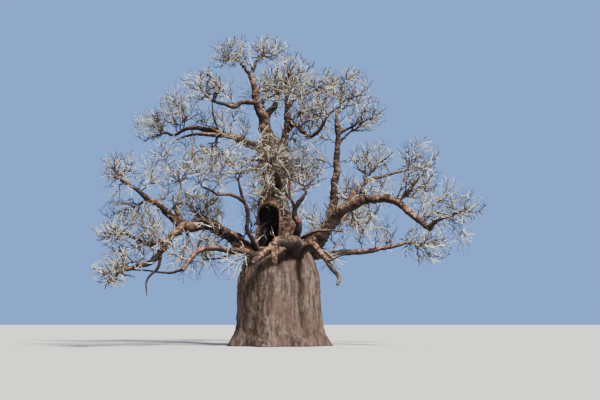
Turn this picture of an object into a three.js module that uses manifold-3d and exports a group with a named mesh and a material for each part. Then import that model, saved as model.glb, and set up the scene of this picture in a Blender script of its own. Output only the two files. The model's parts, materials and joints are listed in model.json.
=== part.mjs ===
// Bare baobab: a bottle trunk, its boughs and the masses of twigs at their ends.
// Units are millimetres, +Z up. The origin is on the ground, under the middle of the trunk.
import * as THREE from 'three';
import Module from 'manifold-3d';

const wasm = await Module();
wasm.setup();

const METRE = 1000;
const GAP = 0.3; // clearance between pieces that meet
const MERGE_LENGTH = 0.05; // edges shorter than this are closed up after a cut

// Trunk: height, lean of the centre line to +X, and radius, from the ground to the fork, in metres
const TRUNK_RINGS = [
  { z: 0.0, lean: 0.0, r: 3.35 },
  { z: 0.5, lean: 0.0, r: 3.05 },
  { z: 1.3, lean: 0.0, r: 2.85 },
  { z: 2.8, lean: -0.05, r: 2.78 },
  { z: 4.4, lean: -0.05, r: 2.75 },
  { z: 5.5, lean: 0.0, r: 2.5 },
  { z: 6.2, lean: 0.0, r: 2.1 },
  { z: 6.9, lean: -0.02, r: 1.68 },
  { z: 7.8, lean: -0.12, r: 1.38 },
  { z: 8.9, lean: -0.34, r: 1.13 },
  { z: 10.0, lean: -0.43, r: 1.02 },
  { z: 11.2, lean: -0.4, r: 0.84 },
  { z: 12.4, lean: -0.35, r: 0.82 },
  { z: 13.3, lean: -0.32, r: 0.9 },
  { z: 13.9, lean: -0.42, r: 0.8 },
  { z: 14.6, lean: -0.8, r: 0.56 },
  { z: 15.2, lean: -1.05, r: 0.46 },
  { z: 15.7, lean: -1.1, r: 0.37 },
];
const TRUNK_SIDES = 28;
const TRUNK_FOLDS = [
  // folds round the trunk, depth as a share of the radius, turn, twist per metre of height
  { count: 3, depth: 0.035, turn: 0.6, twist: 0.05 },
  { count: 5, depth: 0.03, turn: 2.1, twist: -0.04 },
];
const ROOT_FLARE = { count: 7, depth: 0.1, turn: 0.4, fade: 1.1 };
const TRUNK_REACH = 1.1; // widest fold of the trunk, in its radii
const TRUNK_GAP = 1.4; // the trunk's sloping shoulder needs this many gaps sideways

// Arched hollow in the front of the trunk, in metres
const HOLLOW = {
  x: -0.74, half_width: 0.5,
  front: -3.0, back: -0.6,
  sill: 6.75, spring: 9.1,
  arch_steps: 8,
};

// Limbs in metres: what each springs from, radius at root and tip, and the way its middle line runs
const LIMBS = {
  left_great_bough: {
    from: 'trunk', r: [0.5, 0.34],
    way: [
      [-1.0, -0.4, 5.7], [-2.4, -1.4, 6.7], [-3.6, -2.0, 7.5], [-4.8, -2.6, 8.0], [-5.9, -3.0, 7.8],
      [-6.7, -3.2, 8.0],
    ],
  },
  left_rising_bough: {
    from: 'left_great_bough', r: [0.28, 0.09],
    way: [[-6.4, -3.1, 7.8], [-7.3, -3.4, 8.7], [-8.4, -3.9, 9.6], [-9.6, -4.4, 10.4], [-10.3, -4.8, 10.8]],
  },
  left_dropping_bough: {
    from: 'left_great_bough', r: [0.26, 0.14],
    way: [
      [-6.3, -3.1, 7.9], [-7.0, -3.9, 7.0], [-7.4, -4.4, 6.2], [-8.1, -4.9, 5.3], [-8.9, -5.3, 5.1],
      [-9.6, -5.8, 4.8],
    ],
  },
  left_middle_limb: {
    from: 'left_dropping_bough', r: [0.17, 0.09],
    way: [[-7.1, -4.0, 6.8], [-8.2, -4.6, 6.6], [-8.9, -5.2, 6.8], [-9.5, -5.6, 7.1]],
  },
  left_fork_limb: {
    from: 'left_great_bough', r: [0.18, 0.1],
    way: [[-6.5, -3.1, 8.1], [-6.8, -2.5, 9.4], [-6.7, -1.8, 10.5]],
  },
  left_lower_bough: {
    from: 'trunk', r: [0.26, 0.14],
    way: [
      [-1.1, -1.2, 5.6], [-2.2, -2.6, 6.2], [-3.5, -3.4, 6.3], [-4.7, -4.2, 6.3], [-5.5, -5.0, 5.6],
      [-5.9, -5.6, 4.8],
    ],
  },
  left_upright_limb: {
    from: 'trunk', r: [0.2, 0.1],
    way: [[-1.3, -1.0, 6.2], [-2.0, -2.3, 7.6], [-2.1, -2.6, 8.8], [-2.4, -2.8, 9.8], [-2.6, -3.0, 10.6]],
  },
  left_reaching_limb: {
    from: 'left_upright_limb', r: [0.13, 0.07],
    way: [[-2.3, -2.8, 9.6], [-3.1, -3.4, 10.0], [-3.9, -4.0, 9.9], [-4.4, -4.5, 10.1], [-4.8, -4.9, 10.2]],
  },
  upper_left_bough: {
    from: 'trunk', r: [0.33, 0.1],
    way: [
      [-0.7, 0.0, 13.5], [-2.2, 0.4, 14.3], [-3.8, 0.9, 15.0], [-5.4, 1.4, 15.5], [-6.7, 1.9, 15.7],
      [-7.8, 2.3, 15.3], [-8.3, 2.6, 15.4],
    ],
  },
  crown_left_stem: {
    from: 'trunk', r: [0.34, 0.18],
    way: [
      [-1.1, 0.0, 15.0], [-1.15, -0.1, 15.9], [-1.45, -0.3, 16.6], [-1.7, -0.45, 17.4], [-1.8, -0.5, 18.1],
      [-2.1, -0.4, 19.1],
    ],
  },
  top_left_limb: {
    from: 'crown_left_stem', r: [0.14, 0.08],
    way: [[-2.05, -0.4, 18.95], [-2.75, -0.8, 19.8], [-3.3, -1.1, 19.95], [-3.9, -1.3, 19.85]],
  },
  top_right_limb: {
    from: 'crown_left_stem', r: [0.15, 0.09],
    way: [[-2.05, -0.4, 18.95], [-1.85, -0.25, 19.8], [-1.45, 0.0, 20.5]],
  },
  level_bough: {
    from: 'crown_left_stem', r: [0.19, 0.11],
    way: [
      [-1.6, -0.4, 17.0], [-2.6, -1.0, 16.9], [-3.2, -1.5, 16.45], [-3.9, -2.1, 16.5], [-4.6, -2.6, 16.6],
    ],
  },
  crown_back_bough: {
    from: 'trunk', r: [0.28, 0.17],
    way: [[-1.0, 0.1, 15.2], [-0.95, 0.5, 16.1], [-0.65, 1.1, 16.9], [-0.3, 1.9, 17.6], [-0.2, 2.7, 18.3]],
  },
  crown_centre_stem: {
    from: 'trunk', r: [0.34, 0.13],
    way: [[0.0, 0.1, 12.9], [0.38, 0.1, 14.3], [0.5, 0.0, 15.8], [0.55, -0.2, 17.1], [0.42, -0.5, 18.0]],
  },
  right_high_limb: {
    from: 'crown_centre_stem', r: [0.14, 0.08],
    way: [[0.54, -0.1, 16.7], [1.2, 0.0, 17.5], [1.9, 0.1, 17.8], [2.4, 0.3, 18.1]],
  },
  crown_right_bough: {
    from: 'crown_centre_stem', r: [0.22, 0.1],
    way: [
      [0.46, 0.05, 15.1], [1.1, -0.6, 15.4], [1.7, -1.2, 14.7], [2.1, -1.6, 14.3], [2.8, -2.0, 14.7],
      [3.2, -2.4, 15.3],
    ],
  },
  tall_right_stem: {
    from: 'trunk', r: [0.42, 0.19],
    way: [
      [1.2, 0.7, 5.8], [3.0, 2.5, 7.5], [3.8, 3.4, 9.7], [4.0, 3.6, 11.4], [4.2, 3.6, 13.3],
      [4.3, 3.5, 15.4], [4.2, 3.4, 16.4],
    ],
  },
  right_great_bough: {
    from: 'trunk', r: [0.46, 0.17],
    way: [
      [1.0, 0.2, 6.0], [3.0, -0.5, 7.6], [4.5, -1.1, 9.2], [6.3, -1.8, 9.9], [8.0, -2.5, 9.6],
      [8.9, -3.0, 8.6], [10.1, -3.4, 7.6],
    ],
  },
  right_reaching_bough: {
    from: 'right_great_bough', r: [0.18, 0.08],
    way: [[9.95, -3.35, 7.7], [10.5, -3.8, 8.2], [11.3, -4.2, 8.5]],
  },
  right_upper_bough: {
    from: 'right_great_bough', r: [0.2, 0.1],
    way: [[4.5, -1.1, 9.2], [5.2, 0.4, 10.6], [6.4, 1.8, 11.7], [8.1, 2.4, 12.4], [9.2, 2.8, 12.7]],
  },
  right_low_bough: {
    from: 'trunk', r: [0.34, 0.12],
    way: [[0.9, 1.0, 5.9], [3.3, 3.2, 6.5], [5.6, 4.2, 6.8], [8.3, 4.8, 7.2], [9.6, 5.0, 7.6]],
  },
  front_bough: {
    from: 'trunk', r: [0.56, 0.17],
    way: [
      [1.2, -1.0, 6.1], [1.1, -2.8, 6.8], [0.1, -3.6, 6.7], [-0.6, -4.1, 6.2], [-1.2, -4.5, 5.7],
      [-1.6, -4.8, 5.3],
    ],
  },
  front_stub: {
    from: 'front_bough', r: [0.24, 0.18],
    way: [[-0.3, -3.9, 6.4], [-0.2, -4.5, 5.8], [-0.2, -4.7, 5.2]],
  },
  front_right_bough: {
    from: 'trunk', r: [0.28, 0.12],
    way: [
      [1.2, -1.3, 5.9], [2.2, -3.0, 6.6], [2.9, -4.0, 5.9], [3.5, -4.6, 5.0], [3.9, -5.0, 4.4],
      [3.8, -5.2, 3.9],
    ],
  },
  centre_upright_limb: {
    from: 'trunk', r: [0.32, 0.14],
    way: [[1.1, -0.8, 6.4], [1.3, -2.3, 7.8], [1.1, -2.6, 8.6], [1.2, -2.8, 9.3], [1.7, -3.0, 9.9]],
  },
  back_left_bough: {
    from: 'trunk', r: [0.44, 0.17],
    way: [[-0.7, 0.5, 5.7], [-2.9, 2.5, 7.4], [-4.7, 4.4, 8.8], [-6.0, 5.9, 9.6]],
  },
  back_centre_bough: {
    from: 'trunk', r: [0.42, 0.17],
    way: [[-0.1, 0.3, 8.0], [-0.1, 2.6, 10.1], [0.4, 4.6, 11.5], [0.8, 6.2, 12.6]],
  },
  back_right_bough: {
    from: 'trunk', r: [0.42, 0.17],
    way: [[0.7, 1.2, 5.9], [2.2, 3.6, 7.6], [3.6, 6.0, 8.7], [4.8, 7.6, 9.6]],
  },
  front_high_bough: {
    from: 'trunk', r: [0.3, 0.13],
    way: [[-0.2, 0.0, 10.6], [0.0, -1.6, 11.0], [-0.1, -3.2, 11.5], [-0.4, -4.4, 11.8]],
  },
};
const RING_SPACING = 1.05; // metres between the rings of a limb
const THICK_LIMB = 0.24; // root radius in metres from which a limb has more sides
const LIMB_SIDES = { thick: 8, thin: 6 };
const COLLAR = { swell: 0.3, reach: 1.6 }; // swelling of a limb at its root, reach in root radii
const LUMPS = 0.06; // uneven thickness along a limb, as a share of its radius

// Twig masses in metres: limb and place along it, middle and half sizes of the space each keeps to
const MASSES = {
  crown_left_twigs: {
    from: 'top_left_limb', at: 1,
    middle: [-3.6, -1.2, 20.4], half: [1.6, 1.9, 1.3],
  },
  crown_top_twigs: {
    from: 'top_right_limb', at: 1,
    middle: [-0.8, 0.5, 21.2], half: [1.9, 2.1, 1.3],
  },
  level_twigs: {
    from: 'level_bough', at: 1,
    middle: [-5.2, -2.9, 17.6], half: [1.6, 1.9, 1.4],
  },
  crown_back_twigs: {
    from: 'crown_back_bough', at: 1,
    middle: [-0.4, 3.6, 19.7], half: [2.1, 2.1, 1.7],
  },
  crown_centre_twigs: {
    from: 'crown_centre_stem', at: 1,
    middle: [1.0, -1.0, 19.2], half: [1.8, 1.8, 1.5],
  },
  crown_right_twigs: {
    from: 'right_high_limb', at: 1,
    middle: [3.2, 0.8, 18.6], half: [1.5, 1.8, 1.6],
  },
  inner_right_twigs: {
    from: 'crown_right_bough', at: 1,
    middle: [3.4, -3.0, 16.4], half: [1.3, 1.5, 1.5],
  },
  tall_top_twigs: {
    from: 'tall_right_stem', at: 1,
    middle: [5.1, 3.8, 19.4], half: [2.1, 2.1, 1.8],
  },
  tall_side_twigs: {
    from: 'tall_right_stem', at: 0.86,
    middle: [6.5, 3.0, 17.1], half: [1.7, 2.1, 1.6],
  },
  upper_left_outer_twigs: {
    from: 'upper_left_bough', at: 1,
    middle: [-9.7, 3.0, 16.2], half: [1.7, 2.1, 1.4],
  },
  upper_left_top_twigs: {
    from: 'upper_left_bough', at: 0.84,
    middle: [-7.3, 1.4, 17.2], half: [1.8, 1.9, 1.4],
  },
  upper_left_under_twigs: {
    from: 'upper_left_bough', at: 0.52,
    middle: [-5.1, 1.8, 13.5], half: [1.9, 1.8, 1.3],
  },
  left_fan_twigs: {
    from: 'left_fork_limb', at: 1,
    middle: [-7.4, -0.6, 12.8], half: [2.2, 2.1, 2.2],
  },
  left_tip_twigs: {
    from: 'left_rising_bough', at: 1,
    middle: [-10.2, -4.9, 11.5], half: [1.5, 1.9, 1.4],
  },
  left_shoulder_twigs: {
    from: 'left_rising_bough', at: 0.5,
    middle: [-10.4, -2.9, 8.7], half: [1.6, 1.8, 1.4],
  },
  left_middle_twigs: {
    from: 'left_middle_limb', at: 1,
    middle: [-10.4, -5.7, 7.2], half: [1.4, 1.7, 1.0],
  },
  left_low_twigs: {
    from: 'left_dropping_bough', at: 1,
    middle: [-10.2, -6.1, 4.7], half: [1.4, 1.8, 1.2],
  },
  left_reach_twigs: {
    from: 'left_reaching_limb', at: 1,
    middle: [-4.9, -5.3, 11.6], half: [1.5, 1.8, 1.7],
  },
  left_upright_twigs: {
    from: 'left_upright_limb', at: 1,
    middle: [-2.8, -3.2, 12.2], half: [1.4, 1.5, 1.6],
  },
  right_tip_twigs: {
    from: 'right_reaching_bough', at: 1,
    middle: [12.0, -4.9, 8.8], half: [1.6, 1.9, 1.5],
  },
  right_riser_twigs: {
    from: 'right_great_bough', at: 0.74,
    middle: [9.6, -2.8, 11.2], half: [1.4, 1.6, 1.7],
  },
  right_upper_twigs: {
    from: 'right_upper_bough', at: 1,
    middle: [10.3, 3.5, 13.9], half: [1.9, 2.0, 1.7],
  },
  right_inner_twigs: {
    from: 'right_upper_bough', at: 0.5,
    middle: [6.7, 1.2, 13.5], half: [1.9, 1.9, 1.5],
  },
  right_low_twigs: {
    from: 'right_low_bough', at: 1,
    middle: [11.2, 5.6, 7.5], half: [2.2, 2.2, 1.9],
  },
  centre_twigs: {
    from: 'centre_upright_limb', at: 1,
    middle: [2.0, -3.6, 11.8], half: [1.5, 1.7, 2.0],
  },
  front_high_twigs: {
    from: 'front_high_bough', at: 1,
    middle: [-0.5, -5.6, 12.2], half: [1.7, 1.8, 1.8],
  },
  back_left_twigs: {
    from: 'back_left_bough', at: 1,
    middle: [-6.7, 7.3, 10.7], half: [2.5, 2.5, 1.9],
  },
  back_centre_twigs: {
    from: 'back_centre_bough', at: 1,
    middle: [1.2, 7.9, 13.9], half: [2.4, 2.5, 2.1],
  },
  back_right_twigs: {
    from: 'back_right_bough', at: 1,
    middle: [5.8, 9.1, 10.7], half: [2.5, 2.5, 2.0],
  },
};
const TWIG = {
  seed: 66,
  tips: 13, // tips that the rule aims for in each mass
  tip_radius: 0.028, // metres
  thickening: 0.42, // a twig that carries n tips is n to this power times as thick as a tip
  narrowing: 0.65, // thickest root of a twig, as a share of its parent's thickness there
  taper: 0.6, // thickness at a twig's end, as a share of its root
  turning: 0.45, // share of a twig's length for which it keeps its parent's heading
  lift: 0.12, // upward curl of a twig, as a share of its length
  scatter: 0.22, // unevenness of the tips, as a share of the half sizes
  inner_tip: 0.55, // every fourth tip lies this far out from the middle
  backward: 0.7, // how strongly a twig avoids growing back along its parent
  direct: 0.5, // how strongly it avoids a roundabout way from the foot of its mass
  clearance: 0.03, // metres kept free round every other limb and twig
  smoothing: 0.006, // metres; facets smaller than this are joined
};
const STEM = {
  thickness: 0.8, // at its foot, as a share of its limb's radius there
  reach: 0.3, // least share of the way from its foot to the middle of the space
  entry: 1.1, // a foot outside the space is carried in, to where this many half sizes are left
  leaving: 0.4, // share of the limb's own heading in a stem that leaves a limb's side
  bend: 0.25, // where the stem bends, as a share of the way to the middle of the space
  joints: [0.6, 1], // where twigs spring from the stem
};
const TWIG_JOINTS = [0.5, 1]; // where twigs spring from a twig: its bend and its end
const TWIG_SIDES = 3;

// Bark and twig colours
const BARK = new THREE.MeshStandardMaterial({ color: 0x7a5f50, roughness: 0.9, metalness: 0 });
const LIMB_BARK = new THREE.MeshStandardMaterial({ color: 0x8d5d44, roughness: 0.85, metalness: 0 });
const TWIGS = new THREE.MeshStandardMaterial({ color: 0xa9a28e, roughness: 0.8, metalness: 0 });

// Small vector helpers on plain arrays
const add = (a, b) => a.map((value, i) => value + b[i]);
const subtract = (a, b) => a.map((value, i) => value - b[i]);
const scale = (a, factor) => a.map((value) => value * factor);
const dot = (a, b) => a[0] * b[0] + a[1] * b[1] + a[2] * b[2];
const cross = (a, b) => [a[1] * b[2] - a[2] * b[1], a[2] * b[0] - a[0] * b[2], a[0] * b[1] - a[1] * b[0]];
const length = (a) => Math.sqrt(dot(a, a));
const unit = (a) => scale(a, 1 / length(a));
const mix = (a, b, t) => a.map((value, i) => value + (b[i] - value) * t);

// Seeded random numbers from 0 to 1
function randomNumbers(seed) {
  let state = seed >>> 0;
  return () => {
    state = (state + 0x6d2b79f5) >>> 0;
    let t = state;
    t = Math.imul(t ^ (t >>> 15), t | 1);
    t ^= t + Math.imul(t ^ (t >>> 7), t | 61);
    return ((t ^ (t >>> 14)) >>> 0) / 4294967296;
  };
}

// Smooth way through all the given points, with even steps on each stretch
function smoothWay(points, spacing) {
  const way = [];
  for (let i = 0; i + 1 < points.length; i += 1) {
    const [p1, p2] = [points[i], points[i + 1]];
    const p0 = i > 0 ? points[i - 1] : subtract(scale(p1, 2), p2);
    const p3 = i + 2 < points.length ? points[i + 2] : subtract(scale(p2, 2), p1);
    const steps = Math.max(1, Math.round(length(subtract(p2, p1)) / spacing));
    for (let k = 0; k < steps; k += 1) {
      const t = k / steps;
      way.push(p1.map((_, axis) => 0.5 * (2 * p1[axis] + (p2[axis] - p0[axis]) * t
        + (2 * p0[axis] - 5 * p1[axis] + 4 * p2[axis] - p3[axis]) * t * t
        + (3 * p1[axis] - p0[axis] - 3 * p2[axis] + p3[axis]) * t * t * t)));
    }
  }
  way.push(points[points.length - 1]);
  return way;
}

// Closed solid through rings that all have the same number of corners
function ringSolid(rings) {
  const sides = rings[0].length;
  const corners = rings.flat();
  const triangles = [];
  for (let i = 0; i + 1 < rings.length; i += 1) {
    for (let k = 0; k < sides; k += 1) {
      const next = (k + 1) % sides;
      const [a, b] = [i * sides + k, i * sides + next];
      const [c, d] = [a + sides, b + sides];
      triangles.push(a, b, d, a, d, c);
    }
  }
  const last = (rings.length - 1) * sides;
  for (let k = 1; k + 1 < sides; k += 1) {
    triangles.push(0, k + 1, k);
    triangles.push(last, last + k, last + k + 1);
  }
  return new wasm.Manifold(new wasm.Mesh({
    numProp: 3,
    vertProperties: new Float32Array(corners.flat().map((value) => value * METRE)),
    triVerts: new Uint32Array(triangles),
  }));
}

// Rings square to a way, turned as little as possible from one to the next
function ringsAlong(way, radii, sides) {
  const rings = [];
  let side = null;
  way.forEach((point, i) => {
    const ahead = way[Math.min(i + 1, way.length - 1)];
    const behind = way[Math.max(i - 1, 0)];
    const heading = unit(subtract(ahead, behind));
    const guess = side ?? (Math.abs(heading[2]) < 0.9 ? [0, 0, 1] : [1, 0, 0]);
    side = unit(subtract(guess, scale(heading, dot(guess, heading))));
    const up = cross(heading, side);
    const ring = [];
    for (let k = 0; k < sides; k += 1) {
      const angle = (2 * Math.PI * k) / sides;
      const out = add(scale(side, Math.cos(angle)), scale(up, Math.sin(angle)));
      ring.push(add(point, scale(out, radii[i])));
    }
    rings.push(ring);
  });
  return rings;
}

// The same way with both ends moved out
function lengthened(way, extra) {
  const count = way.length;
  const start = unit(subtract(way[0], way[1]));
  const end = unit(subtract(way[count - 1], way[count - 2]));
  return [add(way[0], scale(start, extra)), ...way.slice(1, -1), add(way[count - 1], scale(end, extra))];
}

const largestBody = (solid) => solid.decompose().sort((a, b) => b.volume() - a.volume())[0];

// Trunk

function trunkRadius(ring, angle) {
  let share = 1;
  for (const fold of TRUNK_FOLDS) {
    share += fold.depth * Math.cos(fold.count * angle + fold.turn + fold.twist * ring.z);
  }
  const flare = ROOT_FLARE.depth * Math.exp(-ring.z / ROOT_FLARE.fade);
  share += flare * Math.cos(ROOT_FLARE.count * angle + ROOT_FLARE.turn);
  return ring.r * share;
}

function trunkSolid(extra) {
  const rings = TRUNK_RINGS.map((ring, index) => {
    const lift = index === TRUNK_RINGS.length - 1 ? extra : 0;
    const corners = [];
    for (let k = 0; k < TRUNK_SIDES; k += 1) {
      const angle = (2 * Math.PI * k) / TRUNK_SIDES;
      const radius = trunkRadius(ring, angle) + extra;
      corners.push([ring.lean + radius * Math.cos(angle), radius * Math.sin(angle), ring.z + lift]);
    }
    return corners;
  });
  return ringSolid(rings);
}

function hollowSolid() {
  const outline = [[HOLLOW.x - HOLLOW.half_width, HOLLOW.sill], [HOLLOW.x + HOLLOW.half_width, HOLLOW.sill]];
  for (let k = 0; k <= HOLLOW.arch_steps; k += 1) {
    const angle = (Math.PI * k) / HOLLOW.arch_steps;
    outline.push([
      HOLLOW.x + HOLLOW.half_width * Math.cos(angle),
      HOLLOW.spring + HOLLOW.half_width * Math.sin(angle),
    ]);
  }
  return ringSolid([
    outline.map(([x, z]) => [x, HOLLOW.back, z]),
    outline.map(([x, z]) => [x, HOLLOW.front, z]),
  ]);
}

// Limbs

function limbRadii(way, [root, tip], random) {
  const total = way.slice(1).reduce((sum, point, i) => sum + length(subtract(point, way[i])), 0);
  let gone = 0;
  return way.map((point, i) => {
    gone += i > 0 ? length(subtract(point, way[i - 1])) : 0;
    const plain = root + (tip - root) * (gone / total);
    const collar = 1 + COLLAR.swell * Math.exp(-gone / (COLLAR.reach * root));
    const lump = i === 0 || i === way.length - 1 ? 1 : 1 + LUMPS * (2 * random() - 1);
    return plain * collar * lump;
  });
}

function limbSolid(limb, extra) {
  const sides = limb.r[0] >= THICK_LIMB ? LIMB_SIDES.thick : LIMB_SIDES.thin;
  const grown = extra / Math.cos(Math.PI / sides);
  const radii = limb.radii.map((radius) => radius + grown);
  const way = extra > 0 ? lengthened(limb.line, extra) : limb.line;
  return ringSolid(ringsAlong(way, radii, sides));
}

// Point, heading and radius at a share of a limb's length
function placeOnLimb(limb, share) {
  const place = share * (limb.line.length - 1);
  const i = Math.min(Math.floor(place), limb.line.length - 2);
  return {
    point: mix(limb.line[i], limb.line[i + 1], place - i),
    heading: unit(subtract(limb.line[i + 1], limb.line[i])),
    radius: limb.radii[i] + (limb.radii[i + 1] - limb.radii[i]) * (place - i),
  };
}

// Twig masses

// Least distance between the stretches p1-q1 and p2-q2
function stretchDistance(p1, q1, p2, q2) {
  const [d1, d2, r] = [subtract(q1, p1), subtract(q2, p2), subtract(p1, p2)];
  const [a, e, f, c, b] = [dot(d1, d1), dot(d2, d2), dot(d2, r), dot(d1, r), dot(d1, d2)];
  const bound = (value) => Math.min(1, Math.max(0, value));
  const denominator = a * e - b * b;
  let s = denominator > 1e-12 ? bound((b * f - c * e) / denominator) : 0;
  let t = (b * s + f) / e;
  if (t < 0) s = bound(-c / a);
  if (t > 1) s = bound((b - c) / a);
  t = bound(t);
  return length(subtract(add(p1, scale(d1, s)), add(p2, scale(d2, t))));
}

// A stretch is clear when no obstacle, a tapered rod each, comes near it
function isClear(p, q, radius, obstacles) {
  return obstacles.every((rod) => stretchDistance(p, q, rod.p, rod.q) > radius + rod.r + TWIG.clearance);
}

const outness = (point, mass) => length(subtract(point, mass.middle).map((value, i) => value / mass.half[i]));

// The middle of a twig that leaves along its parent's heading and curls up to its tip
function bendOf(start, heading, tip) {
  const reach = length(subtract(tip, start));
  const bend = mix(mix(start, tip, 0.5), add(start, scale(heading, reach * 0.5)), TWIG.turning);
  return add(bend, [0, 0, -TWIG.lift * reach]);
}

// Tips spread evenly over the space, most of them at its edge
function aimTips(mass, random) {
  const tips = [];
  for (let i = 0; i < TWIG.tips; i += 1) {
    const height = 1 - (2 * (i + 0.5)) / TWIG.tips;
    const turn = i * Math.PI * (3 - Math.sqrt(5));
    const flat = Math.sqrt(1 - height * height);
    const out = [flat * Math.cos(turn), flat * Math.sin(turn), height];
    const depth = i % 4 === 3 ? TWIG.inner_tip : 1 - 0.5 * TWIG.scatter * random();
    const offset = out.map((value, axis) => {
      const uneven = TWIG.scatter * (random() - 0.5);
      return mass.half[axis] * depth * (value + uneven);
    });
    const excess = Math.max(1, outness(add(mass.middle, offset), mass));
    tips.push(add(mass.middle, scale(offset, 1 / excess)));
  }
  return tips;
}

// The stem leaves its limb and runs towards the middle of the space
function growStem(mass, foot) {
  const inward = subtract(mass.middle, foot.point);
  const reach = Math.max(STEM.reach, 1 - STEM.entry / outness(foot.point, mass));
  const tip = add(foot.point, scale(inward, reach));
  const sideways = unit(add(scale(foot.heading, STEM.leaving), unit(inward)));
  const heading = mass.at === 1 ? foot.heading : sideways;
  const ahead = add(foot.point, scale(heading, length(inward) * STEM.bend));
  const bend = mix(mix(foot.point, tip, 0.5), ahead, TWIG.turning);
  return { way: [foot.point, bend, tip], parent: -1, place: 0, gone: 0 };
}

// The place where a new twig would turn least and be shortest on its way to the tip; gone is the way
// from the foot of the mass to there
function bestJoint(twigs, tip) {
  let best = { cost: Infinity };
  twigs.forEach((twig, parent) => {
    for (const place of parent === 0 ? STEM.joints : TWIG_JOINTS) {
      const [root, bend, end] = twig.way;
      const atEnd = place === 1;
      const onStem = mix(bend, end, 2 * place - 1);
      const point = atEnd ? end : onStem;
      const heading = unit(subtract(end, atEnd ? bend : root));
      const toTip = subtract(tip, point);
      const gone = twig.gone + length(subtract(point, root));
      const turned = length(toTip) * (1 + TWIG.backward * (1 - dot(heading, unit(toTip))));
      const cost = turned + TWIG.direct * gone;
      if (cost < best.cost) best = { cost, parent, place, point, heading, gone };
    }
  });
  return best;
}

// The twigs of one mass: the stem first, then each tip joined to the best place on what has grown
function growTwigs(mass, seed, obstacles) {
  const random = randomNumbers(seed);
  const stem = growStem(mass, placeOnLimb(LIMBS[mass.from], mass.at));
  const twigs = [stem];
  const reachFrom = (tip) => length(subtract(tip, stem.way[2]));
  const tips = aimTips(mass, random).sort((a, b) => reachFrom(a) - reachFrom(b));
  for (const tip of tips) {
    const { parent, place, point, heading, gone } = bestJoint(twigs, tip);
    const bend = bendOf(point, heading, tip);
    const thick = TWIG.tip_radius * 2;
    const clear = isClear(point, bend, thick, obstacles) && isClear(bend, tip, thick, obstacles);
    if (clear && outness(bend, mass) < 1) twigs.push({ way: [point, bend, tip], parent, place, gone });
  }
  return twigs;
}

// Each twig's thickness follows from the number of tips that it carries
function thicken(twigs, footRadius) {
  const carried = twigs.map(() => 1);
  for (let i = twigs.length - 1; i > 0; i -= 1) carried[twigs[i].parent] += carried[i];
  twigs.forEach((twig, i) => {
    const wanted = TWIG.tip_radius * carried[i] ** TWIG.thickening;
    const parent = twigs[twig.parent];
    const room = parent && TWIG.narrowing * (twig.place === 1 ? parent.end : parent.middle);
    twig.root = parent ? Math.min(wanted, room) : Math.max(wanted, STEM.thickness * footRadius);
    twig.end = Math.max(TWIG.tip_radius, parent ? twig.root * TWIG.taper : wanted);
    twig.middle = (twig.root + twig.end) / 2;
    twig.carries = carried[i];
  });
}

// Twigs that carry on from the end of their parent are one strand with it
function strandsOf(twigs) {
  const strands = [];
  const strandAt = new Map();
  twigs.forEach((twig, i) => {
    const bent = twig.carries > 1 ? [twig.way[1]] : [];
    const bentRadius = twig.carries > 1 ? [twig.middle] : [];
    const strand = twig.place === 1 ? strandAt.get(twig.parent) : undefined;
    if (strand) {
      strand.way.push(...bent, twig.way[2]);
      strand.radii.push(...bentRadius, twig.end);
      strandAt.delete(twig.parent);
      strandAt.set(i, strand);
    } else {
      const started = {
        way: [twig.way[0], ...bent, twig.way[2]],
        radii: [twig.root, ...bentRadius, twig.end],
      };
      strands.push(started);
      strandAt.set(i, started);
    }
  });
  return strands;
}

function massSolid(twigs) {
  const solids = strandsOf(twigs).map(({ way, radii }) => ringSolid(ringsAlong(way, radii, TWIG_SIDES)));
  return wasm.Manifold.union(solids).simplify(TWIG.smoothing * METRE);
}

// Everything is grown, cut clear of what it meets, and named

const tree = new THREE.Group();

function addPiece(name, solid, material) {
  const { vertProperties, triVerts } = solid.simplify(MERGE_LENGTH).getMesh();
  const geometry = new THREE.BufferGeometry();
  geometry.setAttribute('position', new THREE.BufferAttribute(vertProperties, 3));
  geometry.setIndex(new THREE.BufferAttribute(triVerts, 1));
  geometry.computeVertexNormals();
  const mesh = new THREE.Mesh(geometry, material);
  mesh.name = name;
  tree.add(mesh);
}

// Rods along a line, which stand for a limb when twigs look for free space
function rodsAlong(line, radii) {
  return line.slice(1).map((point, i) => ({ p: line[i], q: point, r: Math.max(radii[i], radii[i + 1]) }));
}

function buildTree() {
  const random = randomNumbers(4711);
  const gap = GAP / METRE;
  const trunkLine = TRUNK_RINGS.map((ring) => [ring.lean, 0, ring.z]);
  const trunkRadii = TRUNK_RINGS.map((ring) => ring.r * TRUNK_REACH);
  addPiece('trunk', trunkSolid(0).subtract(hollowSolid()), BARK);

  const grown = { trunk: trunkSolid(gap * TRUNK_GAP) };
  const rods = { trunk: rodsAlong(trunkLine, trunkRadii) };
  for (const [name, limb] of Object.entries(LIMBS)) {
    limb.line = smoothWay(limb.way, RING_SPACING);
    limb.radii = limbRadii(limb.line, limb.r, random);
    let solid = limbSolid(limb, 0);
    for (const other of Object.values(grown)) solid = solid.subtract(other);
    addPiece(name, largestBody(solid), LIMB_BARK);
    grown[name] = limbSolid(limb, gap);
    rods[name] = rodsAlong(limb.line, limb.radii);
  }

  const twigRods = [];
  Object.entries(MASSES).forEach(([name, mass], index) => {
    const others = Object.entries(rods).filter(([limb]) => limb !== mass.from).flatMap(([, list]) => list);
    const own = mass.at === 1 ? rods[mass.from].slice(0, -1) : [];
    const twigs = growTwigs(mass, TWIG.seed + index, [...others, ...own, ...twigRods]);
    thicken(twigs, placeOnLimb(LIMBS[mass.from], mass.at).radius);
    addPiece(name, largestBody(massSolid(twigs).subtract(grown[mass.from])), TWIGS);
    for (const twig of twigs) {
      twigRods.push({ p: twig.way[0], q: twig.way[1], r: twig.root });
      twigRods.push({ p: twig.way[1], q: twig.way[2], r: twig.middle });
    }
  });
}

buildTree();

export default tree;
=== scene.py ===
import json
import math

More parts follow.
